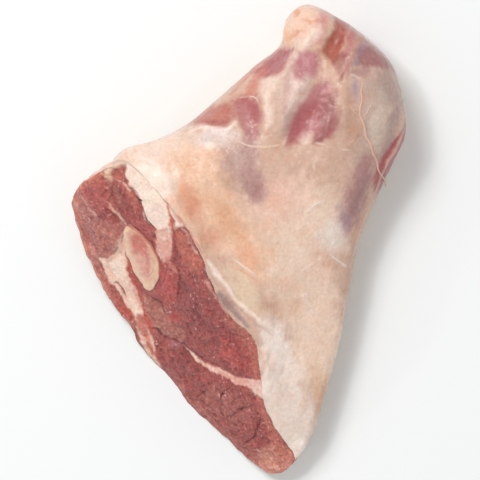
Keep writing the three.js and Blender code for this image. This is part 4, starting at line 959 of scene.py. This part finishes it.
# Rows are spread along the leg by the length of its top, and columns are closer on the upper side.
ways = np.linspace(0, 1, 400)
ridge_line = skin(np.full_like(ways, np.pi / 2), ways) + skin(np.full_like(ways, 0.25), ways)
ridge_length = np.concatenate([[0], np.cumsum(np.linalg.norm(np.diff(ridge_line, axis=0), axis=-1))])
row_shares = np.interp(np.linspace(0, ridge_length[-1], COVER_ROWS), ridge_length, ways)
row_shares[-2] = NEXT_TO_RIM
columns = np.concatenate([np.linspace(0, np.pi, TOP_COLUMNS, endpoint=False),
                          np.linspace(np.pi, 2 * np.pi, UNDER_COLUMNS, endpoint=False)])
share_grid, angle_grid = np.meshgrid(row_shares, columns, indexing="ij")
bare = skin(angle_grid, share_grid)


def along_and_round(points):
    """Millimetres along the leg and round it at each point of a grid, by adding up the steps between
    neighbouring points: the directions that the fibres follow."""
    along = np.cumsum(np.linalg.norm(np.diff(points, axis=0, prepend=points[:1]), axis=-1), axis=0)
    middle = np.median(along, axis=1, keepdims=True)
    round_ = np.cumsum(np.linalg.norm(np.diff(points, axis=1, prepend=points[:, :1]), axis=-1), axis=1)
    return np.stack([np.broadcast_to(middle, along.shape), round_, np.zeros_like(round_)], -1)


def streaks(fibre, run, breadth, seed):
    """Noise drawn out along the fibres: its cells are run millimetres long and breadth wide."""
    return layered_noise(fibre * np.array([1 / run, 1 / breadth, 1]) * 4, 4, seed, 2)


def cover_tissue(points, fibre, upper, outer):
    """The tissue of the cover: the upper side's patches where upper is 1, the under side's where it is 0,
    and those of the outer side where outer is 1."""
    loose = wander(points, 9, 2.4, 1) + wander(points, 2.6, 0.7, 2) - points[..., :2]
    tight = wander(points, 3.4, 0.7, 3)
    fray = 0.45 * streaks(fibre, 13, 1.9, 17) + 0.8 * layered_noise(points, 3.6, 18)
    top = Tissue(points, FASCIA, 0, fray)
    for row in COVER_WASHES:
        top.lay(loose, *row)
    for row in COVER_PATCHES:
        top.lay(tight, *row)
    under = Tissue(points, CREAM_FAT, 0.1, fray)
    for row in UNDER_PATCHES:
        under.lay(loose, *row)

    tissue = top
    tissue.colour = mix(under.colour, top.colour, upper[..., None])
    tissue.rise = mix(under.rise, top.rise, upper)
    tissue.lean = mix(under.lean, top.lean, upper)

    from_side = points[..., 1:] + layered_noise(points, 3, 6)[..., None] * 0.8
    for row in SIDE_PATCHES:
        tissue.lay(from_side, *row, within=outer)

    # Fat is clouded, warmer where it is thick, with pale and rosy flecks, and fascia has fine streaks.
    fat = 1 - tissue.lean
    clouds = layered_noise(points, 11, 5)
    tissue.tone((1.06, 1.08, 1.10), fat * smooth(clouds, 0.05, 0.7))
    tissue.tone((0.95, 0.86, 0.80), fat * smooth(-clouds, 0.05, 0.7))
    lumps = layered_noise(points, 5.5, 7, 2)
    flecks = layered_noise(points, 2.2, 9, 2)
    tissue.tone((1.08, 1.10, 1.12), fat * smooth(flecks, 0.2, 0.8))
    tissue.tone((0.95, 0.86, 0.82), fat * smooth(-flecks, 0.2, 0.8))
    grain = streaks(fibre, 16, 2.2, 21)
    tissue.tone((1.03, 1.04, 1.05), smooth(grain, 0.1, 0.8))
    tissue.tone((0.86, 0.72, 0.74), tissue.lean * smooth(-grain, 0.1, 0.8))
    veil = streaks(fibre, 9, 1.2, 25) + 0.4 * flecks
    tissue.tint(MUSCLE_VEIL, tissue.lean * 0.22 * smooth(veil, 0.2, 0.9))
    mottle = layered_noise(points, 1.9, 27, 2)
    tissue.tone((0.88, 0.78, 0.80), tissue.lean * smooth(-mottle, 0.05, 0.7))
    tissue.tone((1.10, 1.18, 1.18), tissue.lean * smooth(mottle, 0.1, 0.7))
    # Short pale dashes of connective tissue lie along the leg in places.
    dashes = smooth(streaks(fibre, 5, 1.2, 53), 0.35, 0.7)
    dashes = dashes * smooth(layered_noise(points, 14, 55, 1), -0.2, 0.4)
    tissue.tint(PALE_DASH, 0.2 * fat * dashes)
    tissue.rise += 0.06 * fat * dashes
    # Painted glints: sparse pale points on the fat, laid into its colour with a slight rise.
    glint_dots = smooth(layered_noise(points, 1.7, 29, 2), 0.5, 0.8)
    tissue.tint(PAINTED_GLINT_DOT, glint_dots * 0.2 * fat)
    tissue.rise += 0.35 * clouds + 0.32 * lumps + 0.10 * grain + 0.16 * flecks + 0.08 * fat * glint_dots

    for path, width, colour, strength, rise in COVER_STREAKS:
        streak = band(path, [0.5 * width, width, width, 0.5 * width])
        tissue.lay(wander(points, 2.2, 0.35, 4), streak, 0.9, colour, strength, rise, 0, upper)
    return tissue


fibre_grid = along_and_round(bare)
upper_side = smooth(np.sin(angle_grid), -0.42, -0.02)
outer_side = smooth(bare[..., 0] - bare[..., 0].max(axis=1, keepdims=True), -5.0, -3.5)
cover_map = cover_tissue(bare, fibre_grid, upper_side, outer_side)
ends = smooth(share_grid, 0, 0.04) * np.sqrt(1 - np.clip((share_grid - 0.97) / 0.03, 0, 1) ** 2)
off_floor = smooth(bare[..., 2], 0.4, 3)
skin_grid = skin(angle_grid, share_grid, cover_map.rise * ends * off_floor)

# Behind the sawn face the cover closes on a point inside the meat.
rim_ring = skin_grid[-1]
inwards = np.array([*face_section["normal"], 0.0])
cap = []
for share in CAP_SHARES:
    ring = mix(rim_ring, bone_middle, share)
    curl = rim_ring[:, 2] - face_height(rim_ring[:, 0], rim_ring[:, 1])
    ring[:, 2] = face_height(ring[:, 0], ring[:, 1]) + curl * (1 - share) ** 3
    cap.append(ring + inwards * CAP_DEPTH * smooth(share, -0.03, 0.08))
cover_rings = ragged_rim(np.concatenate([skin_grid, cap]))


def with_cap(values, inner):
    """Values of the skin's grid, carried on over the cap as one value."""
    rest = np.broadcast_to(np.asarray(inner, float), (len(CAP_SHARES), *values.shape[1:]))
    return np.concatenate([values, rest])


cover = closed_piece("cover", cover_rings, ["shank_meat"])
paint(cover, "tissue", per_point(with_cap(cover_map.colour, linear(LEAN))))
paint(cover, "bareness", per_point(with_cap(cover_map.lean, 1.0)))
paint(cover, "fibre", per_point(with_cap(fibre_grid, 0.0)) * MM, vector=True)

# The sawn face

FACE_ROWS, FACE_COLUMNS, BACK_COLUMNS = 520, 164, 14
BACK_DEPTH = 4.0
BELOW_BONE = 0.3  # how far the face is set back where the bone covers it

face_along_grid, face_across_grid = np.meshgrid(
    (1 - np.cos(np.pi * np.linspace(0, 1, FACE_ROWS))) * 0.15 + 0.7 * np.linspace(0, 1, FACE_ROWS),
    np.linspace(0, 1, FACE_COLUMNS), indexing="ij")
plain_face = face_surface(face_along_grid, face_across_grid)


# Factors of red, green and blue where cut bundles lie deeper and darker, and where they stand pale.
DARKER, LIGHTER = (0.74, 0.62, 0.62), (1.20, 1.36, 1.34)


def face_tissue(points):
    """The tissue of the sawn face: its muscles, fat and seams, with the grain of cut bundles."""
    loose = wander(points, 5, 1.2, 31) + wander(points, 1.6, 0.5, 32) - points[..., :2]
    tight = wander(points, 2.4, 0.45, 33)
    ragged = 0.7 * layered_noise(points, 2.6, 34, 2) + 0.5 * layered_noise(points, 1.0, 36)
    tissue = Tissue(points, LEAN, 1, ragged)
    for row in FACE_PATCHES:
        tissue.lay(loose if row[1] > 2 else tight, *row)
    lean = tissue.lean
    # Painted glints: pale specks in clusters on the bare muscle, laid into its colour and raised a little.
    clusters = smooth(layered_noise(points, 8, 49), -0.15, 0.35)
    painted_glints = lean * clusters * smooth(value_noise(points, 0.9, 51), 0.77, 0.90)
    coarse = layered_noise(points, 4.5, 35)
    grain = layered_noise(points, 1.5, 37, 2)
    fine = layered_noise(points, 0.75, 39, 2)
    for noise, strength in ((coarse, 0.8), (grain, 0.9), (fine, 0.7)):
        tissue.tone(DARKER, lean * strength * smooth(-noise, 0.05, 0.7))
        tissue.tone(LIGHTER, lean * strength * smooth(noise, 0.1, 0.75))
    tissue.tint(CUT_FAT_LIGHT, (1 - lean) * 0.45 * smooth(grain, 0.1, 0.7))
    tissue.tint(CUT_FAT_ROSE, (1 - lean) * 0.20 * smooth(-coarse, 0.1, 0.7))
    tissue.rise += (lean * (0.50 * coarse + 0.45 * grain + 0.20 * fine)
                    + (1 - lean) * (0.25 * grain + 0.3 * coarse))
    tissue.tint(PAINTED_GLINT, 0.6 * painted_glints)
    tissue.rise += 0.25 * painted_glints
    for path, width, colour, strength, rise in FACE_STREAKS:
        streak = band(path, [0.4 * width, width, width, 0.4 * width])
        tissue.lay(wander(points, 1.8, 0.5, 41), streak, 0.6, colour, strength, rise, 1)
    return tissue


face_map = face_tissue(plain_face)
from_ends = np.sin(np.pi * face_along_grid)
from_rim = np.sqrt(np.clip(np.sin(np.pi * face_across_grid), 0, 1)) * smooth(from_ends, 0, 0.12)
from_edge = np.minimum(face_across_grid, 1 - face_across_grid)
plan_from_bone = bone_reach(plain_face)
near_bone = smooth(plan_from_bone, 1.0, 1.35)
face_relief = (forms_at(FACE_FORMS, plain_face[..., 0], plain_face[..., 1]) * from_rim
               + np.maximum(face_map.rise, 0) * smooth(from_edge, 0, 0.05)
               + np.minimum(face_map.rise, 0) * smooth(from_edge, 0.01, 0.14)
               * smooth(from_ends, 0.03, 0.25))
face_top = plain_face + face_out * (face_relief * mix(0.25, 1, near_bone)
                                    - BELOW_BONE * (1 - near_bone))[..., None]
face_top[..., 2] = np.maximum(face_top[..., 2], 0)
back_share = np.linspace(1, 0, BACK_COLUMNS + 2)[1:-1]
back_picks = np.round(back_share * (FACE_COLUMNS - 1)).astype(int)
back_depth = BACK_DEPTH * np.sqrt(np.sin(np.pi * back_share))[None, :, None] * smooth(
    np.sin(np.pi * face_along_grid[:, :1]), 0, 0.2)[..., None]
face_back = plain_face[:, back_picks] + inwards * back_depth
face_rings = ragged_rim(np.concatenate([face_top, face_back], 1))


def with_back(values):
    """Values of the face's grid, carried round its hidden back."""
    return np.concatenate([values, values[:, back_picks]], 1)


sawn_face = closed_piece("sawn_face", face_rings, ["shank_meat"])
paint(sawn_face, "tissue", per_point(with_back(face_map.colour)))
paint(sawn_face, "bareness", per_point(with_back(face_map.lean)))

# The arm bone and its marrow

BONE_COLUMNS, MARROW_COLUMNS = 128, 112
MARROW_PROUD, MARROW_DOME = 0.35, 0.1  # how far it stands out at its edge, and how much more in its middle


def bone_wall(angle, share, margin, scale=1.0, offset=(0.0, 0.0)):
    """A point of the bone's wall: an oval in the plane of the face, carried along the bone's run and flared
    towards the elbow. Across, it goes with the sine to the power 1 + BONE_LEAF, which points its long ends,
    and it is moved aside by BONE_BOW times the square of the cosine less a quarter, which bends them. scale
    and margin make it smaller or larger, and offset moves it in the plane."""
    long = (BONE_HALF_LONG * scale + margin) * np.cos(angle)
    short = (BONE_HALF_SHORT * scale + margin) * np.sin(angle) * np.abs(np.sin(angle)) ** BONE_LEAF
    short = short + BONE_BOW * scale * (np.cos(angle) ** 2 - 0.25)
    cos, sin = math.cos(BONE_TURN), math.sin(BONE_TURN)
    u, v = long * cos - short * sin + offset[0], long * sin + short * cos + offset[1]
    flare = np.asarray(1 + (BONE_FLARE - 1) * share)[..., None]
    run = BONE_RUN * np.asarray(share)[..., None]
    return bone_middle + (u[..., None] * face_along + v[..., None] * face_slope) * flare + run


def bone_rings(profile, count):
    """Rings of a bone piece from a profile: for each ring its share of the run, margin, scale and offset
    share, and how far it stands out of the sawn face."""
    angle = np.linspace(0, 2 * np.pi, count, endpoint=False)
    rings = []
    for share, margin, scale, shift, out in profile:
        offset = (MARROW_OFFSET[0] * shift, MARROW_OFFSET[1] * shift)
        rings.append(bone_wall(angle, np.full(count, share), margin, scale, offset) + face_out * out)
    return np.array(rings)


def filled_end(rings):
    """The rings with a single point added before the first and after the last, at their middles."""
    first = np.broadcast_to(rings[0].mean(0), rings[0].shape)
    last = np.broadcast_to(rings[-1].mean(0), rings[-1].shape)
    return np.concatenate([first[None], rings, last[None]])


def bone_profile(back, rim_out, edge, mouth):
    """A bone piece's profile rows: up the wall from its hidden end to the sawn face, over a rounded edge
    of a given radius, and in to the mouth."""
    wall = [(share, -BONE_GAP, 1, 0, 0) for share in np.linspace(back, 0.02, 7)]
    turn = [(0, -BONE_GAP - edge * (1 - math.cos(a)), 1, 0, rim_out - edge * (1 - math.sin(a)))
            for a in np.linspace(0, math.pi / 2, 6)]
    cut = [(0, -(BONE_GAP + edge) * (1 - t), 1 - (1 - mouth) * t, t, rim_out)
           for t in np.linspace(0.05, 1, 26)]
    return wall + turn + cut


BORE = [(share, 0, MARROW_SHARE, 1, 0) for share in (0.01, 0.03, 0.1, 0.4, MARROW_DEPTH)]


def bone_tissue(points, seed):
    """The tissue of the bone's cut and of the marrow: cream shell, pink sponge, both finely pitted."""
    moved = wander(points, 3, 0.6, seed)
    tissue = Tissue(points, BONE_SHELL, 0, layered_noise(points, 1.6, seed + 2, 2))
    for row in BONE_PATCHES:
        tissue.lay(moved, *row)
    spongy = layered_noise(points, 1.3, seed + 3, 2)
    tissue.tint(BONE_SHELL, 0.3 * smooth(layered_noise(points, 3.4, seed + 4), 0.1, 0.7))
    tissue.tint(DEEP_MARROW, (0.1 + tissue.lean) * 0.5 * smooth(-spongy, 0.1, 0.7))
    tissue.rise += 0.16 * spongy + 0.22 * layered_noise(points, 4.5, seed + 6)
    return tissue


bone_rows = bone_profile(0.995, BONE_PROUD, BONE_ROUNDING, MARROW_SHARE) + BORE
bone_points = ragged_rim(filled_end(bone_rings(bone_rows, BONE_COLUMNS)))
bone_map = bone_tissue(bone_points, 61)
on_cut = smooth((bone_points - bone_middle) @ face_out, -0.4, 0.2)
bone_map.tint(BONE_EDGE, 0.7 * smooth(bone_reach(bone_points) + 0.04 * bone_map.fray, 0.93, 1.02) * on_cut)
bone_map.tint(BONE_SIDE, 0.8 * (1 - on_cut))
bone_points = bone_points + face_out * (on_cut * bone_map.rise)[..., None]
arm_bone = closed_piece("sawn_arm_bone", bone_points, ["arm_bone"])
paint(arm_bone, "tissue", per_point(bone_map.colour))

marrow_shares = np.linspace(MARROW_DEPTH - 0.005, 0.01, 5)
marrow_profile = [(share, -MARROW_GAP, MARROW_SHARE, 1, 0) for share in marrow_shares]
marrow_profile += [(0, -MARROW_GAP * (1 - t), MARROW_SHARE * (1 - t), 1,
                    MARROW_PROUD + MARROW_DOME * t * (2 - t))
                   for t in np.linspace(0, 0.99, 30)]
marrow_points = ragged_rim(filled_end(bone_rings(marrow_profile, MARROW_COLUMNS)))
marrow_map = bone_tissue(marrow_points, 61)
on_top = smooth((marrow_points - bone_middle) @ face_out, -0.2, 0.3)
marrow_points = marrow_points + face_out * (on_top * marrow_map.rise)[..., None]
marrow = closed_piece("marrow_core", marrow_points, ["bone_marrow"])
paint(marrow, "tissue", per_point(marrow_map.colour))

# Strands on the cover

top_points = skin_grid[:, :TOP_COLUMNS].reshape(-1, 3)


def on_cover(plan):
    """The cover's height at plan points: that of the nearest of its grid's points."""
    gaps = np.linalg.norm(top_points[None, :, :2] - plan[:, None, :], axis=-1)
    return top_points[np.argmin(gaps, axis=1), 2]


def strand_rings(path, radius, seed):
    """A thin flattened tube along a smooth curve through the path, half sunk in the cover, that swells and
    narrows by noise and runs out to a point at both ends. Rings stand square to the curve."""
    path = np.array(path)
    count = 6 * len(path) + 6
    t = np.linspace(0, len(path) - 1, count)
    plan = open_spline(path, t)
    height = on_cover(plan)
    for _ in range(3):
        height[1:-1] = (height[:-2] + 2 * height[1:-1] + height[2:]) / 4
    line = np.concatenate([plan, height[:, None] + 0.1 * radius], -1)
    ahead = np.gradient(line, axis=0)
    ahead /= np.linalg.norm(ahead, axis=-1, keepdims=True)
    aside = np.cross(ahead, np.array([0, 0, 1.0]))
    aside /= np.linalg.norm(aside, axis=-1, keepdims=True)
    above = np.cross(aside, ahead)
    size = radius * np.sin(np.pi * np.linspace(0, 1, count)) ** 0.35
    size = size * (1 + 0.35 * layered_noise(line, 2.2, seed))
    around = np.linspace(0, 2 * np.pi, 8, endpoint=False)
    ring = (aside[:, None] * np.cos(around)[:, None] + 0.75 * above[:, None] * np.sin(around)[:, None])
    return line[:, None] + ring * size[:, None, None]


strand_sets = [strand_rings(path, radius, 80 + k) for k, (path, radius, _) in enumerate(STRANDS)]
strands = closed_piece("fascia_strands", strand_sets)
paint(strands, "tissue", np.concatenate([np.broadcast_to(linear(row[2]), (per_point(rings).shape[0], 3))
                                         for row, rings in zip(STRANDS, strand_sets)]))

# Materials


def add(tree, kind, settings=(), links=()):
    """Adds a node. settings gives values by socket name or number, or by the node's own property, and
    links gives the outputs that its sockets take."""
    node = tree.nodes.new(kind)
    for key, value in dict(settings).items():
        if isinstance(key, int) or key in node.inputs:
            node.inputs[key].default_value = value
        else:
            setattr(node, key, value)
    for key, output in dict(links).items():
        tree.links.new(output, node.inputs[key])
    return node


def new_material(name):
    """A material with an empty node tree."""
    material = bpy.data.materials.new(name)
    material.use_nodes = True
    material.node_tree.nodes.clear()
    return material, material.node_tree


def per_mm(size):
    """The scale of a pattern in object space, in metres, whose cells are this many millimetres."""
    return 1000 / size


def raw_fat_and_fascia():
    """Raw lamb fat under a thin moist fascia: cream and rose, soft light inside it, faint streaks along
    the leg, a satin wet surface with fine pitting. Where the fascia is off, wetter bare muscle shows."""
    material, tree = new_material("raw fat and fascia")
    tissue, bareness, fibre = (add(tree, "ShaderNodeAttribute", {"attribute_name": name})
                               for name in ("tissue", "bareness", "fibre"))
    coords = add(tree, "ShaderNodeTexCoord")
    # Fat grains are about 1 mm, and fascia streaks 0.5 mm broad and 7 mm long. They are too fine to show, so
    # they are drawn 1.3 mm and 1.5 mm broad.
    grains = add(tree, "ShaderNodeTexNoise", {"Scale": per_mm(1.3), "Detail": 4, "Roughness": 0.6},
                 {"Vector": coords.outputs["Object"]})
    run = add(tree, "ShaderNodeMapping", {"vector_type": "POINT", "Scale": (per_mm(7), per_mm(1.5), 1)},
              {"Vector": fibre.outputs["Vector"]})
    streak = add(tree, "ShaderNodeTexNoise", {"Scale": 1, "Detail": 3, "Roughness": 0.55},
                 {"Vector": run.outputs["Vector"]})
    pits = add(tree, "ShaderNodeTexNoise", {"Scale": per_mm(1.6), "Detail": 3, "Roughness": 0.6},
               {"Vector": coords.outputs["Object"]})
    # The grains show a little in fat, and more in bare muscle.
    gain = add(tree, "ShaderNodeMapRange", {"To Min": 0.42, "To Max": 0.95},
               {"Value": bareness.outputs["Fac"]})
    from_mean = add(tree, "ShaderNodeMath", {"operation": "SUBTRACT", 1: 0.5}, {0: grains.outputs["Fac"]})
    grain_tone = add(tree, "ShaderNodeMath", {"operation": "MULTIPLY_ADD", 2: 1.0},
                     {0: from_mean.outputs["Value"], 1: gain.outputs["Result"]})
    streak_tone = add(tree, "ShaderNodeMapRange", {
        "From Min": 0.3, "From Max": 0.7, "To Min": 0.975, "To Max": 1.025,
    }, {"Value": streak.outputs["Fac"]})
    tone = add(tree, "ShaderNodeMath", {"operation": "MULTIPLY"},
               {0: grain_tone.outputs["Value"], 1: streak_tone.outputs["Result"]})
    toned = add(tree, "ShaderNodeVectorMath", {"operation": "SCALE"},
                {0: tissue.outputs["Color"], "Scale": tone.outputs["Value"]})
    relief = add(tree, "ShaderNodeMath", {"operation": "MULTIPLY_ADD", 1: 0.4},
                 {0: streak.outputs["Fac"], 2: grains.outputs["Fac"]})
    bump = add(tree, "ShaderNodeBump", {"Strength": 0.35, "Distance": 0.35 * MM},
               {"Height": relief.outputs["Value"]})
    wet_bump = add(tree, "ShaderNodeBump", {"Strength": 0.6, "Distance": 0.5 * MM},
                   {"Height": pits.outputs["Fac"], "Normal": bump.outputs["Normal"]})
    roughness = add(tree, "ShaderNodeMapRange", {"To Min": 0.5, "To Max": 0.42},
                    {"Value": bareness.outputs["Fac"]})
    shader = add(tree, "ShaderNodeBsdfPrincipled", {
        "IOR": 1.40, "Subsurface Weight": 0.25, "Subsurface Radius": (1.0, 0.45, 0.28),
        "Subsurface Scale": 1.6 * MM, "Coat Weight": 0.5, "Coat Roughness": 0.12, "Coat IOR": 1.40,
    }, {
        "Base Color": toned.outputs["Vector"], "Roughness": roughness.outputs["Result"],
        "Normal": bump.outputs["Normal"], "Coat Normal": wet_bump.outputs["Normal"],
    })
    add(tree, "ShaderNodeOutputMaterial", {}, {"Surface": shader.outputs["BSDF"]})
    return material


def sawn_lean_meat():
    """Sawn raw muscle: dull deep red with paler cut bundles about a millimetre across, finer grain inside
    them, and a moist broken surface that catches small glints. Seam fat in it is cream and smoother."""
    material, tree = new_material("sawn lean meat")
    tissue, bareness = (add(tree, "ShaderNodeAttribute", {"attribute_name": name})
                        for name in ("tissue", "bareness"))
    coords = add(tree, "ShaderNodeTexCoord")
    # Cut bundles are about 1.2 mm across, and the grain in them about 0.5 mm. They are drawn 1.3 mm and
    # 0.6 mm across, so that they show.
    bundles = add(tree, "ShaderNodeTexVoronoi", {"feature": "F1", "Scale": per_mm(1.3), "Randomness": 1},
                  {"Vector": coords.outputs["Object"]})
    grain = add(tree, "ShaderNodeTexNoise", {"Scale": per_mm(0.6), "Detail": 3, "Roughness": 0.6},
                {"Vector": coords.outputs["Object"]})
    bundle_tone = add(tree, "ShaderNodeMapRange", {
        "From Min": 0.0, "From Max": 0.8, "To Min": 1.22, "To Max": 0.74,
    }, {"Value": bundles.outputs["Distance"]})
    grain_tone = add(tree, "ShaderNodeMapRange", {
        "From Min": 0.3, "From Max": 0.7, "To Min": 0.77, "To Max": 1.27,
    }, {"Value": grain.outputs["Fac"]})
    tone = add(tree, "ShaderNodeMath", {"operation": "MULTIPLY"},
               {0: bundle_tone.outputs["Result"], 1: grain_tone.outputs["Result"]})
    # The pattern fades where there is fat.
    even = add(tree, "ShaderNodeMapRange", {"From Min": 0, "From Max": 1, "To Min": 0.35, "To Max": 1},
               {"Value": bareness.outputs["Fac"]})
    mild = add(tree, "ShaderNodeMix", {"data_type": "FLOAT", 2: 1.0},
               {0: even.outputs["Result"], 3: tone.outputs["Value"]})
    toned = add(tree, "ShaderNodeVectorMath", {"operation": "SCALE"},
                {0: tissue.outputs["Color"], "Scale": mild.outputs[0]})
    rough_relief = add(tree, "ShaderNodeMath", {"operation": "SUBTRACT"},
                       {0: grain.outputs["Fac"], 1: bundles.outputs["Distance"]})
    bump = add(tree, "ShaderNodeBump", {"Strength": 0.55, "Distance": 0.35 * MM},
               {"Height": rough_relief.outputs["Value"]})
    # The wet film over it has waves of about 1.4 mm.
    waves = add(tree, "ShaderNodeTexNoise", {"Scale": per_mm(1.4), "Detail": 2, "Roughness": 0.5},
                {"Vector": coords.outputs["Object"]})
    wet_bump = add(tree, "ShaderNodeBump", {"Strength": 1.0, "Distance": 0.6 * MM},
                   {"Height": waves.outputs["Fac"]})
    shader = add(tree, "ShaderNodeBsdfPrincipled", {
        "IOR": 1.40, "Roughness": 0.42, "Subsurface Weight": 0.2, "Subsurface Radius": (1.0, 0.3, 0.2),
        "Subsurface Scale": 1.0 * MM, "Coat Weight": 0.5, "Coat Roughness": 0.14, "Coat IOR": 1.4,
    }, {
        "Base Color": toned.outputs["Vector"], "Normal": bump.outputs["Normal"],
        "Coat Normal": wet_bump.outputs["Normal"],
    })
    add(tree, "ShaderNodeOutputMaterial", {}, {"Surface": shader.outputs["BSDF"]})
    return material


def moist_tissue(name, cell, depth, roughness, weight, radius, coat):
    """Bone, marrow or connective tissue: its painted colour, broken by noise of a cell size in millimetres,
    with bump of the same noise, soft light inside it, and a thin wet coat."""
    material, tree = new_material(name)
    tissue = add(tree, "ShaderNodeAttribute", {"attribute_name": "tissue"})
    coords = add(tree, "ShaderNodeTexCoord")
    pores = add(tree, "ShaderNodeTexNoise", {"Scale": per_mm(cell), "Detail": 3, "Roughness": 0.6},
                {"Vector": coords.outputs["Object"]})
    tone = add(tree, "ShaderNodeMapRange", {"From Min": 0.3, "From Max": 0.7, "To Min": 0.90, "To Max": 1.06},
               {"Value": pores.outputs["Fac"]})
    toned = add(tree, "ShaderNodeVectorMath", {"operation": "SCALE"},
                {0: tissue.outputs["Color"], "Scale": tone.outputs["Result"]})
    bump = add(tree, "ShaderNodeBump", {"Strength": 0.5, "Distance": depth * MM},
               {"Height": pores.outputs["Fac"]})
    shader = add(tree, "ShaderNodeBsdfPrincipled", {
        "IOR": 1.42, "Roughness": roughness, "Subsurface Weight": weight, "Subsurface Radius": radius,
        "Subsurface Scale": 1.0 * MM, "Coat Weight": coat, "Coat Roughness": 0.15, "Coat IOR": 1.36,
    }, {"Base Color": toned.outputs["Vector"], "Normal": bump.outputs["Normal"]})
    add(tree, "ShaderNodeOutputMaterial", {}, {"Surface": shader.outputs["BSDF"]})
    return material


cover.data.materials.append(raw_fat_and_fascia())
sawn_face.data.materials.append(sawn_lean_meat())
# Sawn bone is a dense cream shell with fine pores, drawn 0.7 mm so that they show, and a little moist.
arm_bone.data.materials.append(moist_tissue("sawn bone", 0.7, 0.25, 0.45, 0.15, (1.0, 0.6, 0.4), 0.2))
# Marrow is soft and pink, and shines more.
marrow.data.materials.append(moist_tissue("pink marrow", 1.1, 0.35, 0.38, 0.3, (1.0, 0.4, 0.3), 0.35))
# Strands are pale, half clear and wet.
strands.data.materials.append(moist_tissue("connective strands", 0.8, 0.1, 0.35, 0.3, (1.0, 0.6, 0.5), 0.4))

# Floor, light and camera


def pale_floor(size):
    """A flat square on the ground, size metres across, with a matte near-white paper finish."""
    half = size / 2
    mesh = bpy.data.meshes.new("pale_floor")
    corners = [(-half, -half, 0), (half, -half, 0), (half, half, 0), (-half, half, 0)]
    mesh.from_pydata(corners, [], [(0, 1, 2, 3)])
    floor = new_object("pale_floor", mesh)
    material, tree = new_material("matte white paper")
    shader = add(tree, "ShaderNodeBsdfPrincipled", {
        "Base Color": (*linear(FLOOR_WHITE), 1), "Roughness": 0.9, "Specular IOR Level": 0.2})
    add(tree, "ShaderNodeOutputMaterial", {}, {"Surface": shader.outputs["BSDF"]})
    mesh.materials.append(material)
    return floor


pale_floor(6.0)

LAMP_TARGET = (0, 0, 0.02)  # in metres


def softbox(name, position, size, watts):
    """A round area light of a size, at a position in metres, that faces the piece."""
    light = bpy.data.lights.new(name, "AREA")
    light.shape, light.size, light.energy = "DISK", size, watts
    lamp = new_object(name, light)
    away = mathutils.Vector(position) - mathutils.Vector(LAMP_TARGET)
    lamp.location, lamp.rotation_euler = position, away.to_track_quat("Z", "Y").to_euler()


softbox("key_softbox", (-0.44, 0.62, 1.28), 0.60, 9.8)
softbox("glint_lamp", (-0.50, 0.42, 1.36), 0.14, 2.4)
softbox("low_glint_lamp", (-0.95, -0.75, 0.42), 0.12, 1.2)

world = bpy.data.worlds.new("white_studio")
world.use_nodes = True
background = world.node_tree.nodes["Background"]
background.inputs["Color"].default_value = (1, 1, 1, 1)
background.inputs["Strength"].default_value = 0.64
bpy.context.scene.world = world
bpy.context.scene.view_settings.view_transform = "Standard"

# The view is straight down through a long lens. VIEW_ACROSS is what it takes in at half the piece's
# height, all in millimetres.
EYE_HEIGHT, HALF_HEIGHT, VIEW_ACROSS, SENSOR = 3000, 22, 203.8, 36
VIEW_SHIFT = 0.0004  # to the right, in metres
camera_data = bpy.data.cameras.new("camera")
camera_data.sensor_width = SENSOR
camera_data.lens = SENSOR * (EYE_HEIGHT - HALF_HEIGHT) / VIEW_ACROSS
camera_data.clip_end = 20
camera = new_object("camera", camera_data)
camera.location = (VIEW_SHIFT, 0, EYE_HEIGHT * MM)
bpy.context.scene.camera = camera
